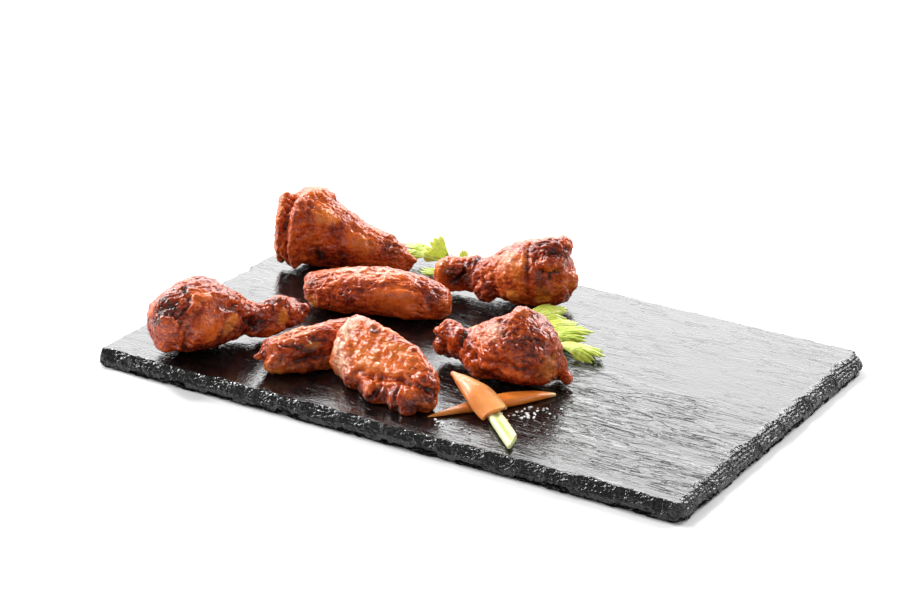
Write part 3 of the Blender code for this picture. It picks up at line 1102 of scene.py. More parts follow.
@dataclass
class WingPiece:
    """One roasted wing piece, made from its node's shape."""

    node: str
    at: Point
    turn: Point
    seed: int
    lumps: tuple[Lump | Bulge, ...] = ()
    folds: tuple[Fold, ...] = ()
    patches: tuple[Patch, ...] = ()
    roast: float = 0.5
    wrinkles: float = 1.0
    voxel: float = 0.45
    sizes: SkinRelief = SkinRelief()
    grain: Noise = field(init=False)

    def __post_init__(self) -> None:
        """Draws the piece's own noise."""
        self.grain = Noise(self.seed)

    def placement(self) -> Matrix:
        """Places the wing in the frame, in millimetres.

        Returns:
            What turns the wing's own axes into the frame's.
        """
        turn = Euler([math.radians(t) for t in self.turn]).to_matrix().to_4x4()
        return Matrix.Translation(Vector(self.at) + Vector((0.0, 0.0, BOARD_TOP))) @ turn

    def local(self, places: np.ndarray) -> np.ndarray:
        """Frame places in the wing's own axes.

        Args:
            places: (n, 3) places in millimetres.

        Returns:
            (n, 3) places along, across and up.
        """
        back = np.array(self.placement().inverted())
        return places @ back[:3, :3].T + back[:3, 3]

    def melted(self) -> bpy.types.Mesh:
        """Melts the extra lumps into the node's shape.

        Returns:
            A fine even mesh.
        """
        shape = merged_copy(self.node)
        place = Matrix.Scale(MM, 4) @ self.placement()
        plain = shape.copy()
        bmesh.ops.transform(plain, matrix=place.inverted(), verts=plain.verts)
        skin = BVHTree.FromBMesh(plain)
        plain.free()
        for lump in self.lumps:
            bmesh.ops.create_icosphere(shape, subdivisions=2, radius=1.0, matrix=place @ lump.matrix(skin))
        thing = from_bmesh(self.node + "_shape", shape)
        rounder = thing.modifiers.new("rounder", "SUBSURF")
        rounder.levels = rounder.render_levels = 2
        melt = thing.modifiers.new("melt", "REMESH")
        melt.mode = "VOXEL"
        melt.voxel_size = self.voxel * MM
        soften = thing.modifiers.new("soften", "SMOOTH")
        soften.factor = 0.6
        soften.iterations = 5
        return baked(thing)

    def cover(self, mark: Mark, own: np.ndarray, wobble: np.ndarray) -> np.ndarray:
        """The strongest patch of one kind at each point.

        Args:
            mark: the kind of patch.
            own: (n, 3) places in the wing's axes.
            wobble: (n,) border noise.

        Returns:
            (n,) values, 0 to 1.
        """
        found = np.zeros(len(own))
        for patch in self.patches:
            if patch.mark is mark:
                found = np.maximum(found, patch.cover(own, wobble))
        return found

    def fold_heights(self, mesh: bpy.types.Mesh, own: np.ndarray, sway: np.ndarray) -> np.ndarray:
        """How far the folds and creases move each vertex.

        Args:
            mesh: the skin.
            own: (n, 3) vertex places in the wing's axes.
            sway: (n, 3) how far each place is shifted, so that no fold runs straight.

        Returns:
            (n,) millimetres outwards.
        """
        faces = [tuple(p.vertices) for p in mesh.polygons]
        tree = BVHTree.FromPolygons(own.tolist(), faces)
        total = np.zeros(len(own))
        for fold in self.folds:
            path = smooth_path(list(fold.path), 1.0)
            ends = np.linspace(0.0, 1.0, len(path))
            fade = np.minimum(1.0, np.minimum(ends, 1.0 - ends) * 4.0 + 0.25)
            near = np.full(len(own), np.inf)
            share = np.zeros(len(own))
            for at, strength in zip(path, fade):
                touch = tree.find_nearest(Vector(at))[0]
                off = np.linalg.norm(own + sway - np.array(touch), axis=1)
                closer = off < near
                near[closer] = off[closer]
                share[closer] = strength
            width = fold.width * (1.0 + 0.35 * self.grain.at(own / 4.0 + 60.0))
            share *= 0.55 + 0.45 * eased(self.grain.at(own / 5.0 + 80.0), -0.4, 0.3)
            profile = np.exp(-((near / width) ** 2))
            lips = np.exp(-(((near - 1.9 * width) / width) ** 2))
            total += share * fold.height * (profile - (0.35 * lips if fold.height < 0 else 0.0))
        return total

    def wander(self, own: np.ndarray, length: float, gap: float) -> np.ndarray:
        """A shift this way and that for each place.

        Args:
            own: (n, 3) places in the wing's axes.
            length: how long its waves are.
            gap: how far apart the noises of its three directions lie.

        Returns:
            (n, 3) shifts, about -1 to 1.
        """
        return np.stack([self.grain.layered(own / length + k * gap, 2) for k in range(3)], axis=1)

    def wrinkled(self, own: np.ndarray, taut: np.ndarray, rough: np.ndarray) -> Wrinkles:
        """Works out the skin's wrinkles.

        Args:
            own: (n, 3) places in the wing's axes.
            taut: (n,) how far the skin is stretched smooth.
            rough: (n,) how far it is puckered.

        Returns:
            The wrinkles.
        """
        sizes = self.sizes
        warp = self.wander(own, sizes.warp[0], 31.7)
        drift = own + warp * sizes.warp[1]
        along = np.array([sizes.streak_stretch, 1.0, 1.0])
        across = np.array([sizes.crease_stretch, 1.0, 1.0])
        lines = np.abs(self.grain.at(drift * across / sizes.crease[0]))
        patchy = eased(self.grain.at(own / sizes.crease_patch_length + 50.0), 0.0, 0.4)
        crease = (1.0 - eased(lines, 0.0, 0.07)) * patchy
        streak = self.grain.folded(drift * along / sizes.streak[0] + 7.0, 0.7)
        fine = self.grain.folded(drift * along / sizes.fine[0] + 17.0, 0.7)
        small = self.grain.layered(own / sizes.small[0] + warp * 0.4 + 3.0, 2)
        pebbles = 1.0 - eased(self.grain.cells(own / sizes.pebble[0] + warp * 0.25), 0.1, 0.6)
        amount = self.wrinkles * (1.0 - 0.75 * taut) * (1.0 + 0.9 * rough)
        ridges = sizes.streak[1] * (streak - sizes.middle) + sizes.fine[1] * (fine - sizes.middle)
        height = amount * (ridges - sizes.crease[1] * crease + sizes.small[1] * small)
        height += sizes.pebble[1] * pebbles * (1.0 - 0.6 * taut) * (1.0 + 3.0 * rough)
        return Wrinkles(drift, amount, crease, streak, pebbles, height)

    def tone(
        self, own: np.ndarray, folds: np.ndarray, lines: Wrinkles, hollow: np.ndarray
    ) -> np.ndarray:
        """How brown the skin is before its patches, with painted shade: hollows, creases and the valleys
        between streaks are painted darker, ridges and beads lighter.

        Args:
            own: (n, 3) places in the wing's axes.
            folds: (n,) how far folds and creases lift the skin.
            lines: its wrinkles.
            hollow: (n,) how deep each vertex lies, in millimetres.

        Returns:
            (n,) tones, 0 for golden and 1 for nearly black.
        """
        # Painted shade in the valleys between streaks and along creases.
        ridge = 0.4 * (1.0 - eased(lines.streak, 0.1, 0.7))
        valley = np.minimum(1.0, lines.amount) * (ridge + 0.6 * lines.crease)
        found = self.roast + 0.26 * self.grain.layered(own / 11.0 + 5.0, 2)
        found += 0.12 * self.grain.layered(lines.drift / 3.4 + 15.0, 2)
        # Painted shade in the folds' creases; beads painted a little lighter.
        found += 0.16 * valley - 0.05 * lines.pebbles + 0.16 * eased(-folds, 0.25, 1.4)
        # Painted shade in hollows and painted light on ridges, by how deep each vertex lies.
        found += 0.26 * eased(hollow, 0.02, 0.5) - 0.16 * eased(-hollow, 0.02, 0.45)
        return found

    def build(self) -> bpy.types.Object:
        """Makes the finished piece.

        Returns:
            The wing, in place of its node.
        """
        sizes = self.sizes
        mesh = self.melted()
        places = coordinates(mesh)
        own = self.local(places)
        wobble = self.grain.at(own / sizes.border_length)
        covers = {mark: self.cover(mark, own, wobble) for mark in Mark}
        taut = covers[Mark.TAUT]

        broad = self.grain.layered(own / sizes.broad[0], 2) * sizes.broad[1]
        broad += self.grain.at(own / sizes.knob[0] + 9.0) * sizes.knob[1] * (1.0 - taut)
        sway = self.wander(own, sizes.sway[0], 17.3) * sizes.sway[1]
        folds = self.fold_heights(mesh, own, sway)
        places += normals(mesh) * (broad + folds)[:, None]
        set_coordinates(mesh, places)

        lines = self.wrinkled(own, taut, covers[Mark.ROUGH])
        places += normals(mesh) * lines.height[:, None]
        places[:, 2] = np.maximum(places[:, 2], BOARD_TOP + sizes.clearance)
        set_coordinates(mesh, places)

        # The tone carries painted shade from hollows and creases; the patches add browning, charring, golden
        # spots and painted light and shade.
        tone = self.tone(own, folds, lines, cavity(mesh, rounds=14))
        tone += 0.36 * covers[Mark.ROAST_AND_SHADE] - 0.34 * covers[Mark.PALE]
        paint(mesh, "skin", tone, covers[Mark.CHAR_AND_SHADE], covers[Mark.FAT_AND_GLINT])
        # Mask of the painted sheen, a pale highlight.
        paint(mesh, "painted_sheen", covers[Mark.PAINTED_SHEEN])
        finish = SkinFinish(name=self.node + "_skin").build()
        return dressed(linked(self.node + "_roast", mesh), finish, "roast_skin", self.node)


# --------------------------------------------------------------------------------------
# The slate
# --------------------------------------------------------------------------------------
@dataclass(frozen=True)
class RimFacts:
    """Where each vertex of the top lies against the rim.

    inner is true where it is too far in to be broken. nearest is the number of the nearest outline
    point, inward how far in the vertex lies, run its length along the outline and bite how wide its
    side is broken.
    """

    inner: np.ndarray
    nearest: np.ndarray
    inward: np.ndarray
    run: np.ndarray
    bite: np.ndarray


@dataclass
class SlateBoard:
    """The hand-cut slate: a cleft top inside a rim of struck flakes.

    bites says how wide each side is broken, and reach how far in the rim is looked for. ledge is the
    height of its terraces, and lowest is how near the foot a scar comes. Each kind of flake has its
    shortest and longest length, its least and most share of the bite and its step in lengths. lap is
    the room past the outline's last point, and flat_from the share of rim that is shaded flat.
    """

    length: float = 330.0
    depth: float = 205.0
    thickness: float = BOARD_TOP
    taper: float = 5.5
    taper_shift: float = 2.0
    radii: dict[str, float] = field(
        default_factory=lambda: {"front": 3.5, "right": 7.0, "back": 6.0, "left": 3.5}
    )
    bites: dict[str, float] = field(
        default_factory=lambda: {"front": 6.5, "right": 12.5, "back": 3.0, "left": 5.0}
    )
    chip_seed: int = 11
    wave: float = 0.9
    wave_length: float = 34.0
    fine_cell: float = 0.5
    cells: tuple[int, int] = (328, 236)
    reach: float = 18.0
    lap: float = 9.0
    ledge: float = 1.15
    lowest: float = 0.5
    settling: int = 400
    levels: int = 10
    flat_from: float = 0.3
    flake_kinds: tuple[tuple[float, ...], ...] = ((16.0, 34.0, 0.6, 1.1, 0.62), (5.0, 12.0, 0.3, 0.7, 1.1))
    grain: Noise = field(default_factory=lambda: Noise(5))

    def corners(self) -> list[tuple[str, Vector]]:
        """Finds the four corners.

        Returns:
            Each corner and the side that starts there, anticlockwise from the front left.
        """
        x, y = self.length / 2, self.depth / 2
        return [
            ("front", Vector((-x, -y))),
            ("right", Vector((x, -y))),
            ("back", Vector((x, y - self.taper))),
            ("left", Vector((-x, y))),
        ]

    def outline(self, step: float) -> Outline:
        """Points round the board.

        Args:
            step: the distance between points on a side.

        Returns:
            Each point's place, outward direction, side and length so far.
        """
        corners = self.corners()
        found, run = [], 0.0
        for i, (side, corner) in enumerate(corners):
            next_side, next_corner = corners[(i + 1) % 4]
            after = corners[(i + 2) % 4][1]
            along = (next_corner - corner).normalized()
            turn_to = (after - next_corner).normalized()
            start = corner + along * self.radii[side]
            end_radius = self.radii[next_side]
            length = (next_corner - start).length - end_radius
            out = Vector((along.y, -along.x))
            next_out = Vector((turn_to.y, -turn_to.x))
            steps = round(length / step)
            for k in range(steps):
                reached = length * k / steps
                found.append((start + along * reached, out, side, run + reached))
            run += length
            middle = next_corner - (out + next_out) * end_radius
            turns = max(4, round(1.6 * end_radius / step))
            for k in range(turns):
                outward = out.slerp(next_out, k / turns)
                found.append((middle + outward * end_radius, outward, side, run + end_radius * k / turns))
            run += end_radius
        return found

    def flakes(self, total: float) -> list[tuple[float, float, float]]:
        """The flakes struck off the rim.

        Args:
            total: the length of the whole outline.

        Returns:
            Each flake's start, length and share of the side's bite.
        """
        chance = random.Random(self.chip_seed)
        found = []
        for shortest, longest, shallow, deep, step in self.flake_kinds:
            at = 0.0
            while at < total:
                length = chance.uniform(shortest, longest)
                found.append((at, length, chance.uniform(shallow, deep)))
                at += length * step
        return found

    def spaced(self, count: int, starts: float, ends: float, total: float) -> np.ndarray:
        """Grid lines that crowd near both rims.

        Args:
            count: how many cells.
            starts: width of the fine band at the start.
            ends: width of the fine band at the end.
            total: the whole width.

        Returns:
            (count + 1,) distances.
        """
        first, last = round(starts / self.fine_cell), round(ends / self.fine_cell)
        knots = [0, first, count - last, count]
        return np.interp(np.arange(count + 1), knots, [0.0, starts, total - ends, total])

    def waved(self, edge: Outline) -> np.ndarray:
        """Draws the outline in by its long wave.

        Args:
            edge: the outline.

        Returns:
            (n, 2) places.
        """
        found = []
        for point, out, _, _ in edge:
            wave = lattice.noise(Vector((point.x, point.y, 0.0)) / self.wave_length)
            found.append(point + out * min(0.0, wave) * self.wave)
        return np.array(found)

    def sheet(self, edge: Outline) -> np.ndarray:
        """The top's grid, fitted to the outline.

        Args:
            edge: the outline.

        Returns:
            (rows, columns, 2) places.
        """
        columns, rows = self.cells
        x = self.spaced(columns, 6.0, 16.0, self.length)[None, :]
        y = self.spaced(rows, 8.0, 5.0, self.depth)[:, None]
        right = x / self.length
        grid = np.zeros((rows + 1, columns + 1, 2))
        grid[..., 0] = x - self.length / 2
        grid[..., 1] = y / self.depth * (self.depth - self.taper * right) - self.depth / 2
        plain = np.array([tuple(point) for point, _, _, _ in edge])
        target = self.waved(edge)
        tree = flat_tree(plain)
        shift = np.zeros_like(grid)
        border = np.zeros(grid.shape[:2], bool)
        border[[0, -1], :] = border[:, [0, -1]] = True
        for row, column in np.argwhere(border):
            at = grid[row, column]
            k = tree.find((at[0], at[1], 0.0))[1]
            out = np.array(edge[k][1])
            tangent = np.array((-out[1], out[0]))
            along = float((at - plain[k]) @ tangent) if self.on_side(edge, k) else 0.0
            shift[row, column] = target[k] + tangent * along - at
        for _ in range(self.settling):
            mean = (shift[:-2, 1:-1] + shift[2:, 1:-1] + shift[1:-1, :-2] + shift[1:-1, 2:]) / 4
            shift[1:-1, 1:-1] = mean
        return grid + shift

    @staticmethod
    def on_side(edge: Outline, k: int) -> bool:
        """Whether an outline point is on a straight stretch, not in a corner's turn.

        Args:
            edge: the outline.
            k: the point's number.

        Returns:
            True on a straight stretch.
        """
        before, after = edge[k - 1][1], edge[(k + 1) % len(edge)][1]
        return (before - after).length < 1e-6

    def relief(self, flat: np.ndarray) -> np.ndarray:
        """How far the cleft top dips below its highest face.

        Args:
            flat: (n, 2) places.

        Returns:
            (n,) millimetres.
        """
        lean = math.radians(9.0)
        along = flat[:, 0] * math.cos(lean) + flat[:, 1] * math.sin(lean)
        across = flat[:, 1] * math.cos(lean) - flat[:, 0] * math.sin(lean)
        bend = 5.0 * self.grain.at(np.stack([along / 70, across / 45, 0 * along], axis=1))
        ways = ((70.0, 24.0, 0.10), (36.0, 8.0, 0.010), (16.0, 3.4, 0.004))
        total = np.zeros(len(flat))
        for k, (long, wide, height) in enumerate(ways):
            spot = np.stack([along / long, (across + bend) / wide, np.full(len(flat), 3.7 * k)], axis=1)
            total += height * (0.5 + 0.5 * self.grain.at(spot))
        seam = np.stack([along / 46, (across + bend) / 8.5, np.full(len(flat), 21.0)], axis=1)
        return total + 0.02 * (1.0 - eased(np.abs(self.grain.at(seam)), 0.0, 0.06))

    def rim_facts(self, flat: np.ndarray, edge: Outline) -> RimFacts:
        """Finds where each vertex of the top lies against the rim.

        Args:
            flat: (n, 2) places.
            edge: the outline.

        Returns:
            The facts.
        """
        count = len(flat)
        target = self.waved(edge)
        tree = flat_tree(target)
        inner_x = np.abs(flat[:, 0]) < self.length / 2 - self.reach
        inner_y = np.abs(flat[:, 1] + self.taper_shift) < self.depth / 2 - self.reach
        inner = inner_x & inner_y
        nearest, inward = np.zeros(count, int), np.full(count, self.reach)
        run, bite = np.zeros(count), np.ones(count)
        for i in np.flatnonzero(~inner):
            nearest[i] = k = tree.find((flat[i, 0], flat[i, 1], 0.0))[1]
            out = np.array(edge[k][1])
            off = flat[i] - target[k]
            inward[i] = max(0.0, -float(off @ out))
            run[i] = edge[k][3] + float(off @ np.array((-out[1], out[0])))
            bite[i] = self.bites[edge[k][2]]
        return RimFacts(inner, nearest, inward, run, bite)

    def struck(self, run: np.ndarray, total: float) -> tuple[np.ndarray, np.ndarray]:
        """What the flakes leave along the rim.

        Args:
            run: (n,) lengths along the outline.
            total: the length of the whole outline.

        Returns:
            (n,) shares of the side's bite, and (n,) heights of the scars' feet.
        """
        deepest = np.full(len(run), 0.3)
        foot = np.full(len(run), 3.0)
        for number, (start, length, strike) in enumerate(self.flakes(total)):
            inside = np.clip(((run - start) % total) / length, 0.0, 1.0)
            reached = strike * 2.0 * inside**0.45 * (1.0 - inside) ** 1.1 / 1.25
            foot = np.where(reached > deepest, 0.8 + (number * 7 % 5) * 0.6, foot)
            deepest = np.maximum(deepest, reached)
        return deepest, foot

    def heights(self, flat: np.ndarray, facts: RimFacts, total: float) -> tuple[np.ndarray, np.ndarray]:
        """How high the stone stands, with its rim broken into terraces.

        Args:
            flat: (n, 2) places.
            facts: where they lie against the rim.
            total: the length of the whole outline.

        Returns:
            (n,) heights in millimetres, and (n,) shares of broken rim.
        """
        run, inward = facts.run, facts.inward
        deepest, foot = self.struck(run, total)
        ragged = np.stack([run / 3.0, inward / 2.0, np.full(len(run), 8.0)], axis=1)
        chips = np.stack([run / 1.5, inward / 1.0, np.full(len(run), 18.0)], axis=1)
        ragged, chips = self.grain.layered(ragged, 3), self.grain.at(chips)
        width = facts.bite * deepest * (1.0 + 0.14 * ragged) + 0.3
        share = np.clip(inward / width, 0.0, 1.0)
        top = self.thickness - self.relief(flat)
        scar = foot + (top - foot) * share**0.6
        ledges = scar / self.ledge + 0.9 * ragged
        step = ledges - np.floor(ledges)
        terraces = self.ledge * (eased(step, 0.45, 0.75) - step)
        scar += (terraces + 0.35 * ragged + 0.28 * chips) * (1.0 - share**3)
        height = np.where(share < 1.0, np.minimum(top, np.maximum(scar, self.lowest)), top)
        rim = np.where(facts.inner, 0.0, 1.0 - eased(inward, 0.85 * width, 1.15 * width))
        return height, rim

    def worn(self, where: np.ndarray) -> np.ndarray:
        """How worn the top is: most of all near the front, to the right.

        Args:
            where: (n, 3) places.

        Returns:
            (n,) values, 0 to 1.
        """
        drift = 12.0 * self.grain.at(where / 30.0)
        front = 1.0 - eased(where[:, 1] + 0.25 * where[:, 0] + drift, -10.0, 50.0)
        right = eased(where[:, 0] + 0.5 * where[:, 1] + drift, -30.0, 40.0)
        return 0.16 + 0.84 * front * right

    def build(self) -> bpy.types.Object:
        """Makes the slate.

        Returns:
            The slate, in place of its node.
        """
        edge = self.outline(1.0)
        sheet = self.sheet(edge)
        columns, rows = self.cells
        shape = bmesh.new()
        bmesh.ops.create_grid(shape, x_segments=columns, y_segments=rows, size=0.5)
        shape.verts.ensure_lookup_table()
        at = np.array([v.co[:2] for v in shape.verts]) + 0.5
        column = np.round(at[:, 0] * columns).astype(int)
        row = np.round(at[:, 1] * rows).astype(int)
        flat = sheet[row, column]
        facts = self.rim_facts(flat, edge)
        height, rim = self.heights(flat, facts, edge[-1][3] + self.lap)

        layer = shape.verts.layers.float.new("rim_share")
        for vert, (x, y), z, share in zip(shape.verts, flat, height, rim):
            vert.co = Vector((x, y, z)) * MM
            vert[layer] = share
        self.drop_sides(shape, edge, facts.nearest, layer)
        thing = from_bmesh("slate_plate", shape)
        mesh = thing.data
        values = np.empty(len(mesh.vertices), np.float32)
        mesh.attributes["rim_share"].data.foreach_get("value", values)
        paint(mesh, "rim", values, self.worn(coordinates(mesh)))
        mesh.attributes.remove(mesh.attributes["rim_share"])
        piece = dressed(thing, SlateFinish().build(), "slate", "slate_board")
        corners = np.empty(len(mesh.loops), np.int32)
        mesh.loops.foreach_get("vertex_index", corners)
        starts = np.empty(len(mesh.polygons), np.int32)
        mesh.polygons.foreach_get("loop_start", starts)
        mesh.polygons.foreach_set("use_smooth", values[corners[starts]] < self.flat_from)
        return piece

    def drop_sides(
        self,
        shape: bmesh.types.BMesh,
        edge: Outline,
        nearest: np.ndarray,
        layer: bmesh.types.BMLayerItem,
    ) -> None:
        """Extrudes the broken side down to the foot and closes the underside.

        Args:
            shape: the top, which this finishes.
            edge: the outline.
            nearest: the outline point nearest to each top vertex.
            layer: the vertex layer that marks the broken rim.
        """
        edges = [e for e in shape.edges if e.is_boundary]
        facts = {}
        for vert in {v for e in edges for v in e.verts}:
            _, out, _, run = edge[nearest[vert.index]]
            facts[vert] = (vert.co.copy() / MM, out, run)
        for level in range(1, self.levels + 1):
            share = level / self.levels
            grown = bmesh.ops.extrude_edge_only(shape, edges=edges)["geom"]
            new = [g for g in grown if isinstance(g, bmesh.types.BMVert)]
            edges = [g for g in grown if isinstance(g, bmesh.types.BMEdge)]
            passed = {}
            for vert in new:
                partner = next(e.other_vert(vert) for e in vert.link_edges if e.other_vert(vert) in facts)
                base, out, run = facts[partner]
                spot = np.array([[run / 5.5, level * 0.55, 4.0], [run / 1.8, level * 1.3, 9.0]])
                rough = self.grain.at(spot)
                inset = round(4.0 * max(0.0, 0.45 + rough[0])) * 0.55 + 0.9 * abs(rough[1])
                drop = base.z * (1.0 - share)
                if level < self.levels:
                    drop += 0.45 * rough[1] * min(1.0, base.z / 4.0)
                vert.co = Vector((base.x - out.x * inset, base.y - out.y * inset, drop)) * MM
                vert[layer] = 1.0
                passed[vert] = facts[partner]
            facts = passed
            edges = [e for e in edges if all(v in passed for v in e.verts)]
        bmesh.ops.contextual_create(shape, geom=edges)
        bmesh.ops.recalc_face_normals(shape, faces=shape.faces)


# --------------------------------------------------------------------------------------
# The garnish
# --------------------------------------------------------------------------------------
@dataclass(frozen=True)
class Leaflet:
    """One leaf of a sprig: foot and middle tip, fan and tilt in degrees, teeth, arch and paleness."""

    foot: Point
    tip: Point
    fan: float
    teeth: int
    arch: float
    tilt: float
    pale: float = 0.3
    rounding: float = 0.28
    tooth: float = 0.10
    lobes: int = 3
    cleft: float = 0.26


@dataclass
class CelerySprig:
    """Thin celery leaves grown together on one branched stalk."""

    node: str
    stalks: tuple[tuple[Point, ...], ...]
    leaflets: tuple[Leaflet, ...]
    seed: int
    thickness: float = 0.4
    stalk_radius: float = 1.0
    rows: int = 34
    columns_a_tooth: int = 10

    def blade(self, plan: Leaflet, grain: Noise) -> bpy.types.Mesh:
        """One blade, toothed along its outer edge, veined and gently buckled.

        Args:
            plan: the leaflet.
            grain: the sprig's noise.

        Returns:
            A closed thin mesh with its vein and paleness painted on.
        """
        thing = grid_mesh("blade", plan.teeth * self.columns_a_tooth, self.rows)
        at = coordinates(thing.data)
        across, share = at[:, 0] * 2.0, at[:, 1] + 0.5
        foot, tip = Vector(plan.foot), Vector(plan.tip)
        along = tip - foot
        length = along.length
        along.normalize()
        side = Vector((-along.y, along.x, 0.0)).normalized()
        normal = -along.cross(side)
        roll = Matrix.Rotation(math.radians(plan.tilt), 3, along)
        side, normal = roll @ side, roll @ normal
        if normal.z < 0:
            normal.negate()
        phase = (across + 1.0) * plan.teeth / 2.0
        saw = np.abs((phase % 1.0) - 0.5) * 2.0
        number = np.stack([np.round(phase + 0.5), 0 * phase, 0 * phase + 4.5], axis=1)
        big = 0.5 + 0.5 * grain.at(number * 1.37)
        teeth = plan.tooth * (0.7 + 0.6 * big) * saw**1.3
        split = np.abs(((across + 1.0) * plan.lobes / 2.0) % 1.0 - 0.5) * 2.0
        lobed = plan.cleft * split**3 * (1.0 - np.abs(across) ** 6)
        reach = length * (1.0 - (teeth + lobed) * share**2 - plan.rounding * across * across)
        reach *= 0.1 + 0.9 * share
        angle = math.radians(plan.fan) * across
        bow = plan.arch * (4.0 * share * (1.0 - share) - 1.2 * across * across * share)
        fan = math.radians(plan.fan)
        vein = np.exp(-((saw * length * share * fan / plan.teeth / 0.42) ** 2))
        vein = np.maximum(vein, np.exp(-((across * length * share * fan / 0.5) ** 2)))
        spot = np.stack([reach * np.sin(angle), reach * np.cos(angle), np.full(len(at), plan.fan)], axis=1)
        buckle = grain.at(spot / 5.0) * 0.9 * share + grain.at(spot / 2.2) * 0.25
        lift = bow + buckle - 0.35 * vein + 0.25 * (1.0 - saw) * share
        places = (
            np.array(foot)
            + np.outer(reach * np.cos(angle), along)
            + np.outer(reach * np.sin(angle), side)
            + np.outer(lift, normal)
        )
        places[:, 2] += BOARD_TOP
        places[:, 2] = np.maximum(places[:, 2], BOARD_TOP + 0.35)
        set_coordinates(thing.data, places)
        paint(thing.data, "leaf", vein * (0.15 + 0.45 * share), plan.pale + 0.12 * (1.0 - share))
        wall = thing.modifiers.new("wall", "SOLIDIFY")
        wall.thickness = self.thickness * MM
        wall.offset = 0.0
        return baked(thing)

    def build(self) -> bpy.types.Object:
        """Makes the sprig.

        Returns:
            The sprig, in place of its node.
        """
        grain = Noise(self.seed)
        shape = bmesh.new()
        for plan in self.leaflets:
            shape.from_mesh(self.blade(plan, grain))
        leaves = shape.verts.layers.float_color["leaf"]
        known = set(shape.verts)
        stems = bmesh.new()
        for stalk in self.stalks:
            path = smooth_path(list(stalk), 1.5)
            path[:, 2] += BOARD_TOP
            radii = np.linspace(self.stalk_radius, self.stalk_radius * 0.7, len(path))
            tube(stems, path, radii, 10)
        mesh = bpy.data.meshes.new("stems")
        stems.to_mesh(mesh)
        stems.free()
        shape.from_mesh(mesh)
        for vert in shape.verts:
            if vert not in known:
                vert[leaves] = (0.3, 0.45, 0.0, 1.0)
        thing = from_bmesh(self.node + "_fresh", shape)
        finish = LeafFinish(name=self.node + "_leaf").build()
        return dressed(thing, finish, "celery_leaf", self.node)


@dataclass
class CarrotHood:
    """The tapering carrot slice bent into a roof over the celery."""

    node: str = "carrot_hood"
    apex: Pair = (15.0, -54.0)
    foot: Pair = (49.0, -67.4)
    shares: tuple[float, ...] = (0.0, 0.12, 0.35, 0.62, 0.85, 1.0)
    edges: tuple[float, ...] = (10.5, 9.9, 8.6, 7.0, 2.6, 0.8)
    halves: tuple[float, ...] = (0.8, 2.6, 5.6, 8.2, 9.0, 8.3)
    rises: tuple[float, ...] = (0.9, 2.2, 3.6, 4.4, 4.9, 4.7)
    wall: float = 1.9
    lift: float = 0.3

    def build(self) -> bpy.types.Object:
        """Makes the slice.

        Returns:
            The slice, in place of its node.
        """
        thing = grid_mesh("hood_sheet", 56, 72)
        at = coordinates(thing.data)
        turn, share = (at[:, 0] + 0.5) * math.pi, at[:, 1] + 0.5
        grain = Noise(41)
        apex, foot = np.array((*self.apex, 0.0)), np.array((*self.foot, 0.0))
        along = foot - apex
        side = np.array((-along[1], along[0], 0.0)) / np.linalg.norm(along)
        spread = share[:, None] + np.linspace(-0.13, 0.13, 9)
        kinds = (self.halves, self.rises, self.edges)
        half, rise, edge = (np.interp(spread, self.shares, knots).mean(axis=1) for knots in kinds)
        half = np.minimum(half, np.interp(share, self.shares, self.halves) + 0.4)
        edge = edge + self.lift
        scallop = (0.05 * np.sin(turn) ** 2 - 0.09 * eased(np.cos(turn), 0.3, 1.0)) * share**4
        places = apex + np.outer(share + scallop - 0.03 * share, along)
        places += np.outer(half * np.cos(turn), side)
        places[:, 2] += BOARD_TOP + edge + rise * np.sin(turn)
        places[:, 2] += 0.35 * grain.at(places / 7.0) * np.sin(turn)
        set_coordinates(thing.data, places)
        inner = np.minimum(1.0, 0.5 * np.minimum(half, rise) / self.wall)
        group = thing.vertex_groups.new(name="wall")
        for k, weight in enumerate(inner):
            group.add([k], float(weight), "REPLACE")
        # Painted light and shade: paler toward the back of the arch and toward the foot, deeper orange toward
        # the front edge.
        pale = 0.52 + 0.38 * np.cos(turn) + 0.25 * (share - 0.5) + 0.12 * grain.at(places / 6.0)
        heart = 0.55 * eased(share, 0.72, 1.0) * eased(np.cos(turn), -0.1, 0.7)
        paint(thing.data, "flesh", pale, heart)
        wall = thing.modifiers.new("wall", "SOLIDIFY")
        wall.thickness = self.wall * MM
        wall.offset = -1.0 if thing.data.polygons[0].normal.z > 0 else 1.0
        wall.vertex_group = "wall"
        piece = linked("carrot_hood_slice", baked(thing))
        return dressed(piece, RootFinish(name="carrot_slice").build(), "carrot", self.node)


class Cut(Enum):
    """How a strip's upper side is shaped."""

    ROUND = "a rounded carrot sliver"
    GROOVED = "a celery stick with a groove along it"


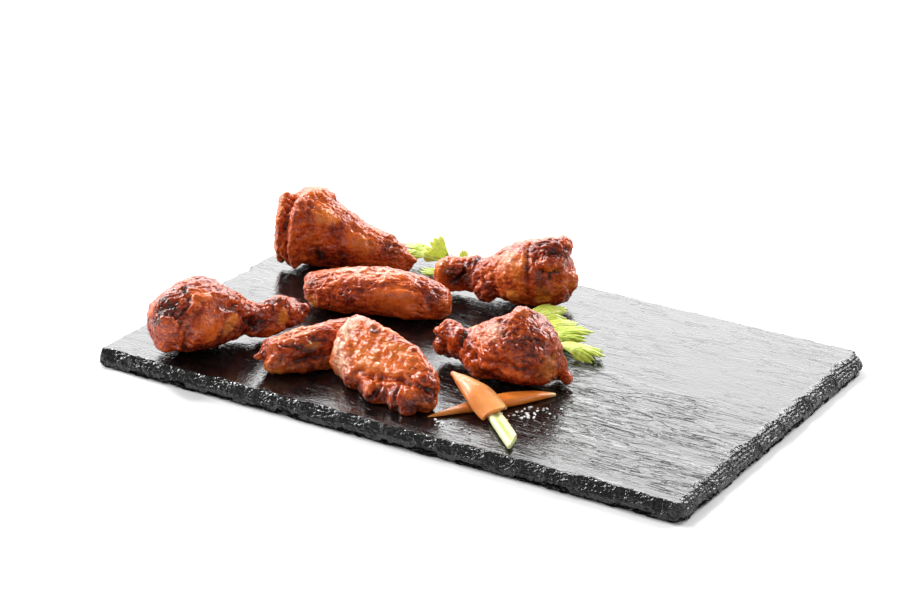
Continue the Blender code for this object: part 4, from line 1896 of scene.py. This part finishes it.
@dataclass
class Strip:
    """A straight strip that lies on the board, lofted from its broad-side profile."""

    node: str
    ends: tuple[Pair, Pair]
    width: float
    height: float
    profile: tuple[Point, ...]
    cut: Cut
    slant: float = 0.0
    seed: int = 3
    sides: int = 28
    rings: int = 60

    def outline(self) -> np.ndarray:
        """Draws the cross-section.

        Returns:
            (sides, 2) shares of half the width and of the height.
        """
        found = []
        for k in range(self.sides):
            a = 2 * math.pi * k / self.sides
            x, z = math.cos(a), math.sin(a)
            x = math.copysign(abs(x) ** 0.75, x)
            z = 0.46 + 0.54 * math.copysign(abs(z) ** 0.8, z)
            if self.cut is Cut.GROOVED and z > 0.5:
                z -= 0.34 * math.exp(-((x / 0.45) ** 2))
                z += 0.05 * math.cos(x * 14.0)
            found.append((x, z))
        return np.array(found)

    def build(self, finish: bpy.types.Material, slot: str) -> bpy.types.Object:
        """Makes the strip.

        Args:
            finish: its material.
            slot: handed on to dressed, which does not use it.

        Returns:
            The strip, in place of its node.
        """
        grain = Noise(self.seed)
        a, b = (np.array((*end, 0.0)) for end in self.ends)
        along = b - a
        way = along / np.linalg.norm(along)
        side = np.array((-way[1], way[0], 0.0))
        outline = self.outline()
        shares = np.linspace(0.0, 1.0, self.rings)
        at, wides, highs = zip(*self.profile)
        wide, high = np.interp(shares, at, wides), np.interp(shares, at, highs)
        rings = []
        for share, w, h in zip(shares, wide, high):
            end = min(share, 1.0 - share) * np.linalg.norm(along)
            pinch = 1.0 - 0.22 * max(0.0, 1.0 - end / 0.8) ** 2
            x = outline[:, 0] * self.width / 2 * w * pinch
            z = outline[:, 1] * self.height * h
            ring = a + along * share + np.outer(x, side) - np.outer(outline[:, 0] * self.slant * share, way)
            ring[:, 2] = BOARD_TOP + 0.15 + z * pinch + (1.0 - pinch) * self.height * h * 0.5
            rings.append(ring)
        shape = bmesh.new()
        loft(shape, rings)
        thing = from_bmesh(self.node + "_cut", shape)
        places = coordinates(thing.data)
        own = places - a
        u, v = own @ way, own @ side
        rough = grain.layered(np.stack([u / 9.0, v / 2.2, places[:, 2] / 2.2], axis=1), 3)
        places += normals(thing.data) * (0.16 * rough)[:, None]
        places[:, 2] = np.maximum(places[:, 2], BOARD_TOP + 0.05)
        set_coordinates(thing.data, places)
        share = u / np.linalg.norm(along)
        if self.cut is Cut.GROOVED:
            top = eased(places[:, 2], BOARD_TOP + 1.2, BOARD_TOP + 2.4)
            green = np.exp(-((v / (self.width * 0.2)) ** 2)) * top
            green *= 0.35 + 0.65 * eased(share, 0.1, 0.45)
            paint(thing.data, "flesh", green)
        else:
            tips = eased(share, 0.90, 1.0)
            paint(thing.data, "flesh", 0.10 + 0.25 * rough + 0.3 * (1.0 - eased(share, 0.0, 0.4)), 0.9 * tips)
        return dressed(thing, finish, slot, self.node)


@dataclass(frozen=True)
class SaltHeap:
    """A loose scatter of salt: its middle, its reach along the long way and across it, how many."""

    middle: Pair
    reach: Pair
    turn: float
    count: int


@dataclass
class SaltFlakes:
    """Coarse salt scattered round the garnish."""

    heaps: tuple[SaltHeap, ...]
    sizes: Pair = (0.6, 1.9)
    seed: int = 23

    def build(self) -> bpy.types.Object:
        """Makes all flakes as one piece.

        Returns:
            The salt.
        """
        chance = random.Random(self.seed)
        shape = bmesh.new()
        for heap in self.heaps:
            cos, sin = math.cos(math.radians(heap.turn)), math.sin(math.radians(heap.turn))
            for _ in range(heap.count):
                x = chance.gauss(0.0, 0.5) * heap.reach[0]
                y = chance.gauss(0.0, 0.5) * heap.reach[1]
                at = Vector(heap.middle) + Vector((x * cos - y * sin, x * sin + y * cos))
                size = chance.uniform(*self.sizes)
                flat = chance.uniform(0.3, 0.55)
                place = Matrix.Translation((at.x * MM, at.y * MM, (BOARD_TOP + 0.45 * size * flat) * MM))
                lean = chance.uniform(-0.5, 0.5), chance.uniform(-0.5, 0.5)
                spin = Euler((*lean, chance.uniform(0.0, 6.3)))
                scale = Matrix.Diagonal((size * chance.uniform(0.9, 1.7), size, size * flat, 1.0))
                matrix = place @ spin.to_matrix().to_4x4() @ scale
                made = bmesh.ops.create_icosphere(shape, subdivisions=2, radius=0.5 * MM, matrix=matrix)
                for vert in made["verts"]:
                    off = vert.co - place.translation
                    vert.co = place.translation + off * chance.uniform(0.72, 1.15)
        thing = from_bmesh("salt_flakes", shape)
        piece = dressed(thing, SaltFinish().build(), "celery_stalk")
        piece.data.shade_flat()
        return piece


# --------------------------------------------------------------------------------------
# The studio
# --------------------------------------------------------------------------------------
@dataclass(frozen=True)
class Softbox:
    """A large soft light: where it stands, what it faces, its size and its strength in watts."""

    name: str
    at: Point
    facing: Point
    size: Pair
    watts: float
    colour: Colour = (1.0, 1.0, 1.0)

    def build(self) -> None:
        """Sets the light up."""
        light = bpy.data.lights.new(self.name, "AREA")
        light.shape = "RECTANGLE"
        light.size, light.size_y = self.size
        light.energy = self.watts
        light.color = self.colour
        thing = bpy.data.objects.new(self.name, light)
        thing.location = self.at
        thing.rotation_euler = (Vector(self.facing) - Vector(self.at)).to_track_quat("-Z", "Y").to_euler()
        thing.visible_camera = False
        bpy.context.scene.collection.objects.link(thing)


@dataclass(frozen=True)
class Studio:
    """A plain pale floor, soft lights and the camera; distances in metres."""

    boxes: tuple[Softbox, ...]
    sky: float = 0.12
    camera_at: Point = (0.6508, -1.0776, 0.5646)
    camera_aim: Point = (-0.0526, 0.0525, 0.005)
    lens: float = 110.0
    floor_size: float = 12.0
    floor_drop: float = 0.0005

    def build(self) -> None:
        """Sets up floor, sky, lights and camera."""
        shape = bmesh.new()
        bmesh.ops.create_grid(shape, x_segments=2, y_segments=2, size=self.floor_size / 2)
        bmesh.ops.translate(shape, verts=shape.verts, vec=(0.0, 0.0, -self.floor_drop))
        floor = from_bmesh("floor", shape)
        floor.data.materials.append(FloorFinish().build())
        world = bpy.data.worlds.new("soft_sky")
        world.use_nodes = True
        background = world.node_tree.nodes["Background"]
        background.inputs["Color"].default_value = (1.0, 1.0, 1.0, 1.0)
        background.inputs["Strength"].default_value = self.sky
        scene = bpy.context.scene
        scene.world = world
        scene.view_settings.view_transform = "Standard"
        for box in self.boxes:
            box.build()
        camera = bpy.data.cameras.new("camera")
        camera.lens = self.lens
        thing = bpy.data.objects.new("camera", camera)
        thing.location = self.camera_at
        aim = Vector(self.camera_aim) - Vector(self.camera_at)
        thing.rotation_euler = aim.to_track_quat("-Z", "Y").to_euler()
        scene.collection.objects.link(thing)
        scene.camera = thing


# --------------------------------------------------------------------------------------
# This serving
# --------------------------------------------------------------------------------------
DRUMETTE_LEFT = WingPiece(
    "drumette_left",
    at=(-124.4, -76.5, -0.7),
    turn=(0.0, 0.0, 57.0),
    seed=101,
    roast=0.55,
    lumps=(
        Bulge((-13, -4, 29), (17, 14, 10), 2.2),
        Bulge((-17, -12, 18), (15, 20, 10), 1.8),
        Bulge((-19, -9, 10), (10, 12, 8), 1.5),
        Bulge((-11, -13, 8), (5, 5, 5), 1.5),
        Bulge((1, -18, 20), (26, 22, 12), 1.0),
        Bulge((15, -10, 29), (30, 12, 10), 1.3),
        Bulge((28, -7, 18), (22, 10, 9), 1.0),
        Bulge((45, -3, 20), (11, 9, 8), 1.5),
        Bulge((50, -8, 7), (12, 9, 10), 1.2),
        Lump((57, -3, 13), (11, 5, 6), (0, -8, -10)),
        Lump((38, -5, 7), (26, 11, 11)),
    ),
    folds=(
        Fold(((-5, -3, 36), (-4, -9, 33), (-8, -14, 28), (-13, -14, 24), (-20, -9, 22)), 1.6, -1.4),
        Fold(((-9, -16, 24), (-8, -18, 18), (-9, -16, 11), (-9, -13, 6)), 1.8, -1.4),
        Fold(((2, -12, 31), (12, -10, 31), (23, -8, 24), (32, -7, 12)), 2.0, 1.2),
        Fold(((5, -16, 27), (15, -13, 25), (24, -10, 18), (31, -8, 9)), 1.5, -0.9),
        Fold(((20, -2, 27), (30, -3, 22), (40, -3, 18)), 1.1, -0.7),
        Fold(((14, 2, 31), (25, 1, 26), (36, 0, 20)), 1.1, -0.6),
        Fold(((41, -8, 12), (42, -5, 18), (42, 0, 21)), 1.5, -0.9),
        Fold(((46, -7, 18), (46, -9, 12), (45, -8, 8)), 1.6, 0.9),
    ),
    patches=(
        Patch(Mark.CHAR_AND_SHADE, (-12, -5, 30), (7, 6, 7), 0.3),
        Patch(Mark.CHAR_AND_SHADE, (-4, -4, 35), (3, 3, 3), 0.8),
        Patch(Mark.CHAR_AND_SHADE, (45, -3, 19), (4, 4, 4), 0.6),
        Patch(Mark.ROAST_AND_SHADE, (-16, -8, 24), (9, 9, 12)),
        Patch(Mark.ROAST_AND_SHADE, (29, -8, 12), (11, 5, 7)),
        # Painted shade: a darker band along the underside.
        Patch(Mark.ROAST_AND_SHADE, (0, -12, 4), (26, 10, 6), 0.7),
        Patch(Mark.PALE, (2, -10, 32), (9, 6, 6), 0.8),
        Patch(Mark.PALE, (-21, -3, 27), (5, 6, 8), 0.8),
        Patch(Mark.PALE, (28, -2, 24), (14, 6, 6), 0.6),
        Patch(Mark.PALE, (3, -17, 18), (10, 6, 8), 0.55),
        Patch(Mark.FAT_AND_GLINT, (14, -13, 17), (7, 8, 6), 0.6),
        Patch(Mark.FAT_AND_GLINT, (46, -9, 13), (3, 3, 6), 0.95),
        Patch(Mark.TAUT, (2, -17, 20), (14, 8, 12)),
        Patch(Mark.ROUGH, (25, -4, 24), (16, 8, 10)),
    ),
)
DRUMETTE_BACK = WingPiece(
    "drumette_back",
    at=(-136.9, 47.8, -0.9),
    turn=(0.0, 0.0, 20.0),
    seed=102,
    roast=0.38,
    lumps=(
        Lump((-12, -5, 31.5), (11, 14, 25)),
        Lump((-8, -2, 30), (16, 14, 24)),
        Lump((-15, -8, 26), (6, 6, 8)),
        Lump((-11, -12, 16), (12, 11, 18)),
        Lump((-3, -12, 15), (13, 12, 19)),
        Lump((-2, -11, 32), (10, 11, 25)),
        Lump((-7, -7, 27), (9, 11, 24)),
        Lump((-8, -8, 12), (14, 13, 22)),
        Lump((2, 4, 37.5), (24, 17, 13)),
        Bulge((12, -11, 36), (22, 16, 10), 1.2, -25),
        Bulge((28, -11, 22), (22, 14, 10), 1.0, -20),
        Bulge((47, -5, 15), (14, 14, 12), 1.6),
        Bulge((43, 0, 19), (8, 7, 6), 1.6),
        Lump((55, -5, 11), (10, 4, 4), (0, 20, -20)),
    ),
    folds=(
        Fold(((-7, -4, 43), (-8, -8, 36), (-9, -11, 28), (-9, -14, 22)), 1.6, -0.9),
        Fold(((2, -7, 42), (2, -12, 36), (3, -16, 29), (3, -17, 22)), 2.2, -0.7),
        Fold(((-8, -15, 21), (-8, -15, 14), (-6, -14, 7)), 1.5, -1.4),
        Fold(((-14, -14, 24), (-8, -16, 23), (1, -17, 24)), 1.2, -0.9),
        Fold(((6, -17, 20), (8, -16, 12), (9, -15, 6)), 2.4, -1.4),
        Fold(((6, -3, 43), (16, -2, 38), (26, -1, 31)), 1.8, 1.0),
        Fold(((33, -7, 20), (35, -10, 15), (37, -10, 10)), 1.2, -0.7),
        Fold(((24, -8, 27), (30, -8, 23), (36, -6, 20)), 1.2, -0.6),
    ),
    patches=(
        Patch(Mark.PALE, (11, -11, 36), (9, 7, 8), 0.9),
        Patch(Mark.FAT_AND_GLINT, (12, -12, 34), (7, 6, 6), 0.6),
        Patch(Mark.PALE, (29, -11, 22), (10, 7, 9), 0.75),
        Patch(Mark.FAT_AND_GLINT, (32, -11, 18), (7, 6, 6), 0.35),
        Patch(Mark.ROAST_AND_SHADE, (18, -13, 27), (7, 5, 6), 0.6),
        # Browning and painted shade along the body's lower side and in the crease there.
        Patch(Mark.ROAST_AND_SHADE, (16, -14, 12), (13, 6, 9)),
        Patch(Mark.CHAR_AND_SHADE, (7, -16, 12), (5, 4, 9), 0.6),
        Patch(Mark.CHAR_AND_SHADE, (46, -6, 15), (6, 6, 8), 0.5),
        Patch(Mark.PALE, (-14, -8, 36), (4, 5, 8), 0.5),
        Patch(Mark.PALE, (0, 0, 44), (8, 6, 3), 0.5),
        Patch(Mark.ROUGH, (-8, -9, 30), (10, 8, 18)),
        Patch(Mark.ROUGH, (46, -5, 15), (9, 8, 9)),
        Patch(Mark.TAUT, (18, -11, 28), (17, 8, 13)),
    ),
)
FLAT_MIDDLE = WingPiece(
    "flat_middle",
    at=(-103.5, -1.2, 0.0),
    turn=(0.0, 0.0, 19.5),
    seed=103,
    roast=0.42,
    lumps=(
        Bulge((1, -6, 13), (12, 13, 10), 1.0),
        Bulge((10, -12, 9), (12, 9, 9), 1.0),
        Bulge((24, -13, 12), (26, 12, 9), 0.8),
        Bulge((48, -14, 12), (30, 15, 9), 1.0),
        Bulge((71, -7, 12), (10, 13, 12), 1.2),
        Bulge((64, -4, 19), (12, 10, 8), 0.8),
    ),
    folds=(
        Fold(((4, -6, 19), (20, -8, 21), (35, -9, 21), (50, -9, 21), (62, -6, 19)), 1.6, 0.9),
        Fold(((6, -9, 16), (22, -13, 17), (36, -14, 17)), 1.5, -0.7),
        Fold(((34, -13, 19), (37, -15, 12), (38, -14, 8)), 1.9, -0.5),
        Fold(((61, -7, 19), (64, -10, 14), (66, -9, 8)), 1.6, -0.7),
        Fold(((10, 0, 22), (28, 0, 23), (46, -1, 23)), 1.1, -0.5),
        Fold(((14, -4, 21), (26, -4, 23), (38, -5, 23)), 1.0, -0.4),
    ),
    patches=(
        Patch(Mark.ROAST_AND_SHADE, (20, -12, 12), (17, 6, 7), 0.4),
        Patch(Mark.CHAR_AND_SHADE, (3, -7, 16), (5, 5, 6), 0.5),
        Patch(Mark.CHAR_AND_SHADE, (68, -7, 13), (5, 6, 6), 0.45),
        Patch(Mark.FAT_AND_GLINT, (3, -10, 7), (3, 3, 5), 0.9),
        # Paler skin and painted light along the top strip, with a painted pale sheen.
        Patch(Mark.PALE, (25, -2, 22), (30, 7, 4), 0.5),
        Patch(Mark.PAINTED_SHEEN, (24, -1, 23), (26, 5, 3), 0.35),
        Patch(Mark.PALE, (48, -13, 14), (15, 7, 9), 0.85),
        Patch(Mark.ROAST_AND_SHADE, (64, -4, 17), (8, 9, 8), 0.5),
        Patch(Mark.TAUT, (47, -13, 13), (16, 6, 9)),
        Patch(Mark.ROUGH, (8, -8, 14), (12, 8, 10)),
    ),
)
FLAT_LOWER = WingPiece(
    "flat_lower",
    at=(-75.5, -77.5, 0.0),
    turn=(0.0, 0.0, 52.0),
    seed=104,
    roast=0.46,
    lumps=(
        Lump((18, -8, 4), (36, 11, 9)),
        Lump((-1, -7, 6), (9, 10, 10)),
        Lump((-6, -1, 9), (7, 4, 4), (0, 0, 20)),
        Bulge((14, -7, 14), (22, 9, 8), 0.8),
        Bulge((2, -3, 14), (9, 9, 7), 1.0),
    ),
    folds=(
        Fold(((2, -3, 16), (10, -4, 17), (20, -4, 19), (30, -4, 20)), 1.5, 0.9),
        Fold(((3, -6, 14), (10, -7, 14), (19, -8, 15), (28, -8, 16)), 1.5, -0.9),
        Fold(((4, 0, 17), (14, 0, 19), (26, 0, 21)), 1.0, -0.5),
        Fold(((3, -9, 9), (10, -10, 8), (22, -11, 9)), 1.5, -0.6),
    ),
    patches=(
        # Painted light: the lit top strip painted lighter, with a pale sheen.
        Patch(Mark.PALE, (16, -1, 18), (20, 5, 4), 0.6),
        Patch(Mark.PAINTED_SHEEN, (18, 0, 19), (16, 4, 3), 0.3),
        # Painted shade: charring and browning on the shadowed side face.
        Patch(Mark.CHAR_AND_SHADE, (20, -10, 7), (22, 6, 7), 0.6),
        Patch(Mark.ROAST_AND_SHADE, (16, -8, 12), (20, 5, 6), 0.6),
        Patch(Mark.FAT_AND_GLINT, (-1, -8, 5), (5, 5, 5), 0.9),
        # Painted highlight: small orange glints, in the golden fatty colour.
        Patch(Mark.FAT_AND_GLINT, (19, -8, 14), (5, 3, 2.5), 0.5),
        Patch(Mark.ROUGH, (16, 0, 18), (20, 6, 5), 0.7),
        Patch(Mark.TAUT, (18, -10, 8), (18, 5, 6), 0.7),
    ),
)
FLAT_FRONT = WingPiece(
    "flat_front",
    at=(-44.0, -61.5, 15.0),
    turn=(60.0, 5.0, -11.6),
    seed=105,
    roast=0.32,
    wrinkles=0.8,
    lumps=(
        Bulge((27, -12, 7), (27, 10, 9), 1.3, -8),
        Bulge((46, -12, 9), (16, 13, 12), 1.8),
        Bulge((61, -7, 5), (20, 13, 12), 2.2),
        Bulge((58, -15, 7), (11, 8, 8), 1.5),
        Bulge((64, 3, 4), (12, 10, 8), 1.0),
    ),
    folds=(
        Fold(((-1, 13, 6), (7, 6, 9), (13, -2, 9), (17, -9, 8)), 1.3, 0.9),
        Fold(((19, -8, 8), (30, -6, 8), (42, -3, 8), (53, -1, 8), (66, 1, 3)), 1.7, -2.6),
        Fold(((19, -4, 9), (30, -2, 9), (42, 1, 9), (53, 3, 8)), 1.8, 0.9),
        Fold(((39, -7, 8), (37, -12, 8), (35, -17, 7)), 1.2, -1.1),
        Fold(((50, -4, 8), (51, -11, 9), (55, -17, 8)), 1.2, -1.2),
        Fold(((57, -2, 6), (63, -5, 4), (69, -6, 2)), 1.1, -0.7),
        Fold(((14, 8, 9), (26, 8, 8), (38, 6, 8)), 1.0, -0.4),
        Fold(((24, 2, 9), (36, 1, 9), (48, 3, 8)), 1.0, -0.4),
        Fold(((18, 12, 7), (32, 12, 7), (46, 10, 7)), 1.0, -0.4),
    ),
    patches=(
        # Painted highlight: a pale sheen on the left strip and end that face the light.
        Patch(Mark.PAINTED_SHEEN, (4, 5, 6), (6, 16, 7), 0.95),
        Patch(Mark.PAINTED_SHEEN, (9, -8, 6), (7, 10, 6), 0.8),
        Patch(Mark.PALE, (30, 5, 8), (28, 15, 8), 0.5),
        Patch(Mark.FAT_AND_GLINT, (24, 0, 9), (14, 6, 5), 0.35),
        Patch(Mark.FAT_AND_GLINT, (38, 11, 7), (14, 4, 5), 0.35),
        Patch(Mark.CHAR_AND_SHADE, (19, 14, 5), (4, 2.5, 4), 0.9),
        Patch(Mark.ROAST_AND_SHADE, (64, 2, 4), (9, 7, 6)),
        Patch(Mark.ROAST_AND_SHADE, (36, 15, 5), (26, 3, 5), 0.5),
        # Browning, charring and painted shade on the lower lumps beneath the flap.
        Patch(Mark.ROAST_AND_SHADE, (30, -15, 7), (15, 7, 9)),
        Patch(Mark.CHAR_AND_SHADE, (30, -16, 6), (12, 5, 7), 0.5),
        Patch(Mark.ROAST_AND_SHADE, (52, -12, 8), (15, 8, 9)),
        Patch(Mark.CHAR_AND_SHADE, (47, -13, 9), (7, 6, 6), 0.5),
        Patch(Mark.CHAR_AND_SHADE, (62, -8, 5), (11, 6, 7), 0.6),
        Patch(Mark.TAUT, (50, -11, 8), (16, 7, 8), 0.7),
    ),
)
DRUMETTE_RIGHT = WingPiece(
    "drumette_right",
    at=(-6.4, 63.8, 0.0),
    turn=(0.0, 0.0, 192.2),
    seed=106,
    roast=0.42,
    lumps=(
        Bulge((24, 14, 9), (14, 12, 13), 2.0),
        Bulge((-9, 8, 32), (18, 20, 12), 1.8),
        Lump((-9, 3, 32), (22, 18, 15)),
        Bulge((-7, 17, 20), (20, 20, 10), 1.2),
        Bulge((-21, 4, 20), (8, 8, 9), 1.6),
        Bulge((9, 13, 24), (18, 18, 10), 1.0),
        Bulge((8, 16, 10), (16, 12, 9), 1.0),
        Bulge((50, 6, 15), (8, 12, 9), 1.2),
        Bulge((36, 1, 20), (10, 8, 7), 1.0),
    ),
    folds=(
        Fold(((4, 3, 36), (2, 12, 31), (0, 18, 23), (-1, 18, 14)), 1.8, -1.5),
        Fold(((-2, 9, 33), (-7, 6, 37), (-14, 4, 35), (-18, 4, 28), (-14, 9, 25), (-7, 14, 26)), 1.2, -0.9),
        Fold(((-13, 12, 27), (-12, 15, 20), (-15, 10, 12)), 1.4, -1.0),
        Fold(((42, 10, 14), (39, 10, 11)), 6.0, -7.0),
        Fold(((31, 9, 19), (30, 12, 13), (31, 10, 8)), 1.6, -1.0),
        Fold(((15, 16, 18), (14, 17, 12), (12, 16, 8)), 1.2, -0.7),
        Fold(((12, 3, 31), (20, 4, 27), (30, 2, 22)), 1.2, -0.6),
    ),
    patches=(
        # Painted shade: the knuckle's hollow painted nearly black.
        Patch(Mark.CHAR_AND_SHADE, (41, 9, 13), (9, 8, 9), 0.95),
        Patch(Mark.CHAR_AND_SHADE, (-9, 8, 33), (6, 6, 6), 0.3),
        Patch(Mark.ROAST_AND_SHADE, (-9, 7, 32), (12, 12, 9), 0.7),
        Patch(Mark.ROAST_AND_SHADE, (-8, 16, 19), (10, 6, 9), 0.5),
        Patch(Mark.ROAST_AND_SHADE, (32, 5, 17), (9, 8, 8), 0.5),
        Patch(Mark.ROAST_AND_SHADE, (24, 14, 9), (8, 6, 8), 0.6),
        Patch(Mark.PALE, (12, 12, 25), (10, 9, 10), 0.9),
        # Painted highlight: a pale sheen.
        Patch(Mark.PAINTED_SHEEN, (14, 11, 26), (8, 7, 8), 0.3),
        Patch(Mark.FAT_AND_GLINT, (5, 15, 25), (4, 6, 12), 0.4),
        Patch(Mark.FAT_AND_GLINT, (50, 5, 15), (4, 7, 9), 0.4),
        Patch(Mark.FAT_AND_GLINT, (8, 16, 10), (5, 4, 5), 0.8),
        Patch(Mark.FAT_AND_GLINT, (-8, 15, 9), (5, 4, 4), 0.7),
        Patch(Mark.PALE, (-20, 6, 18), (4, 6, 8), 0.7),
        Patch(Mark.ROUGH, (24, 13, 10), (9, 8, 9)),
        Patch(Mark.ROUGH, (-9, 6, 34), (12, 10, 8), 0.8),
        Patch(Mark.TAUT, (-7, 17, 19), (8, 6, 9), 0.7),
    ),
)
DRUMETTE_NEAR = WingPiece(
    "drumette_near",
    at=(35.5, -24.5, 0.0),
    turn=(0.0, 0.0, 174.0),
    seed=107,
    roast=0.52,
    lumps=(
        Lump((40, 4, 15), (14, 12, 19)),
        Lump((33, 6, 14), (16, 12, 17)),
        Lump((44, 6, 10), (9, 9, 11)),
        Lump((37, 4, 19), (12, 9, 9)),
        Lump((46, 5, 16), (8, 5, 5), (0, 15, 10)),
        Bulge((8, 16, 22), (22, 24, 12), 1.0),
        Bulge((-1, 17, 11), (34, 10, 10), 1.2),
        Bulge((-20, 2, 15), (10, 18, 12), 1.5),
        Lump((-21, -9, 4), (7, 7, 7)),
        Bulge((-3, 0, 38), (6, 6, 5), 1.5),
        Bulge((8, 7, 33), (4, 4, 4), 1.2),
        Bulge((-16, -4, 29), (14, 10, 8), 1.0),
    ),
    folds=(
        Fold(((28, 4, 22), (28, 10, 17), (22, 14, 10)), 1.8, -1.2),
        Fold(((-2, 0, 38), (0, 6, 34), (-2, 13, 29)), 1.5, 1.3),
        Fold(((-5, 8, 33), (-6, 14, 28), (-9, 16, 22)), 1.6, -0.7),
        Fold(((-12, 7, 30), (-13, 9, 27)), 5.5, -1.6),
        Fold(((20, 14, 14), (8, 18, 16), (-4, 18, 17), (-15, 15, 16)), 1.9, -1.1),
        Fold(((-18, 6, 22), (-17, 10, 15), (-19, 7, 8)), 1.5, -0.8),
        Fold(((39, 8, 14), (37, 9, 9)), 1.8, -1.0),
        Fold(((16, 6, 28), (14, 12, 24), (12, 16, 18)), 1.2, -0.5),
    ),
    patches=(
        # Painted light: the left face, which catches the light, painted paler with a sheen.
        Patch(Mark.PALE, (10, 14, 25), (12, 8, 12), 0.6),
        Patch(Mark.PAINTED_SHEEN, (8, 12, 28), (10, 7, 9), 0.4),
        # Painted shade: the right face, turned from the light, painted browner.
        Patch(Mark.ROAST_AND_SHADE, (-13, 8, 28), (8, 9, 9), 0.5),
        # Painted shade: darker along the lower roll.
        Patch(Mark.CHAR_AND_SHADE, (0, 17, 8), (22, 7, 5), 0.6),
        Patch(Mark.CHAR_AND_SHADE, (40, 7, 12), (8, 6, 8), 0.5),
        Patch(Mark.FAT_AND_GLINT, (-20, 3, 14), (5, 8, 8), 0.45),
        Patch(Mark.FAT_AND_GLINT, (27, 3, 24), (2.5, 2.5, 2.5)),
        Patch(Mark.PALE, (-4, 2, 37), (5, 4, 4), 0.5),
        Patch(Mark.ROUGH, (6, 8, 30), (16, 12, 12), 0.8),
        Patch(Mark.TAUT, (0, 17, 12), (20, 6, 6), 0.8),
    ),
)
WINGS = (
    DRUMETTE_LEFT,
    DRUMETTE_BACK,
    FLAT_MIDDLE,
    FLAT_LOWER,
    FLAT_FRONT,
    DRUMETTE_RIGHT,
    DRUMETTE_NEAR,
)

SPRIGS = (
    CelerySprig(
        "celery_leaf_back",
        stalks=(
            ((-53.0, 86.0, 2.0), (-62.0, 85.5, 2.8), (-77.5, 82.6, 4.8)),
            ((-66.0, 84.5, 3.0), (-68.5, 67.0, 2.4)),
            ((-71.0, 83.2, 4.0), (-73.5, 82.6, 7.5)),
            ((-62.0, 85.5, 2.8), (-63.0, 85.6, 5.5)),
        ),
        leaflets=(
            Leaflet((-70.0, 79.0, 4.0), (-100.5, 83.5, 8.0), 19.0, 9, 1.5, -14.0, -0.1, cleft=0.2),
            Leaflet((-70.5, 82.0, 4.5), (-84.5, 80.5, 11.5), 37.0, 6, 1.0, -58.0, 0.8, 0.05, 0.12, 2, 0.1),
            Leaflet((-62.0, 85.5, 3.5), (-66.0, 86.0, 10.0), 30.0, 5, 1.0, -40.0, 0.9, cleft=0.05),
            # Painted shade: paleness below zero holds this leaflet at the deepest green.
            Leaflet((-66.0, 68.0, 2.5), (-80.0, 65.0, 3.0), 30.0, 6, 0.5, 0.0, -0.3, tooth=0.2),
        ),
        seed=31,
    ),
    CelerySprig(
        "celery_leaf_right",
        stalks=(
            ((6.0, 14.0, 2.0), (18.0, 18.5, 2.8), (33.5, 20.0, 4.4)),
            ((8.0, 15.0, 2.4), (10.3, 29.5, 4.6)),
            ((16.0, 18.0, 2.8), (27.5, 26.5, 4.6)),
        ),
        leaflets=(
            Leaflet((4.0, 31.0, 4.0), (17.5, 54.0, 6.5), 34.0, 9, 2.5, 10.0, 0.55),
            Leaflet((12.0, 24.0, 4.5), (30.0, 43.0, 5.0), 26.0, 9, 1.6, 4.0, 0.6, cleft=0.16),
            Leaflet((20.0, 20.0, 4.0), (43.5, 35.5, 6.0), 27.0, 9, 2.0, 8.0, 0.2, tooth=0.16),
            Leaflet((29.0, 16.0, 4.0), (59.5, 18.0, 2.6), 19.0, 9, 2.5, 10.0, 0.15, cleft=0.2),
        ),
        seed=32,
    ),
)

SPINDLE = Strip(
    "carrot_spindle",
    ends=((19.5, -83.0), (58.5, -30.0)),
    width=10.5,
    height=4.8,
    profile=(
        (0.0, 0.08, 0.14),
        (0.12, 0.34, 0.42),
        (0.3, 0.66, 0.75),
        (0.5, 0.95, 1.0),
        (0.65, 1.0, 1.0),
        (0.85, 0.62, 0.8),
        (1.0, 0.16, 0.3),
    ),
    cut=Cut.ROUND,
)
STICK = Strip(
    "celery_stick",
    ends=((46.0, -67.2), (69.4, -88.6)),
    width=7.6,
    height=4.3,
    profile=((0.0, 0.94, 1.0), (0.5, 1.0, 1.0), (1.0, 0.98, 0.92)),
    cut=Cut.GROOVED,
    slant=5.0,
)

SALT = SaltFlakes(
    heaps=(
        SaltHeap((56.0, -56.0), (17.0, 8.0), 62.0, 30),
        SaltHeap((35.0, -84.5), (17.0, 4.5), 4.0, 15),
    )
)

LIGHTS = (
    Softbox("back_wall", (-1.0, 1.35, 0.82), (0.0, 0.0, 0.0), (3.0, 1.3), 66.0),
    Softbox("rim_back", (0.5, 1.3, 1.0), (0.15, 0.0, 0.0), (0.7, 0.6), 20.0),
    Softbox("top_key", (-1.0, 0.35, 1.25), (-0.04, 0.0, 0.02), (0.26, 0.26), 14.0),
    Softbox("left_key", (-1.45, -0.35, 0.75), (-0.04, 0.0, 0.02), (0.6, 0.6), 26.0),
    Softbox("right_edge", (1.25, 0.25, 0.55), (0.1, 0.0, 0.0), (0.7, 0.7), 4.0),
    Softbox("front_fill", (0.6, -1.4, 1.2), (0.0, 0.0, 0.0), (1.2, 1.2), 6.0),
)


def main() -> None:
    """Builds the serving, piece by piece, and its studio."""
    logging.basicConfig(level=logging.INFO, format="%(name)s: %(message)s")
    SlateBoard().build()
    for wing in WINGS:
        wing.build()
    for sprig in SPRIGS:
        sprig.build()
    CarrotHood().build()
    carrot = RootFinish(name="carrot_sliver", shine=0.3).build()
    SPINDLE.build(carrot, "carrot")
    STICK.build(StalkFinish().build(), "celery_stalk")
    SALT.build()
    Studio(boxes=LIGHTS).build()


if __name__ == "__main__":
    main()
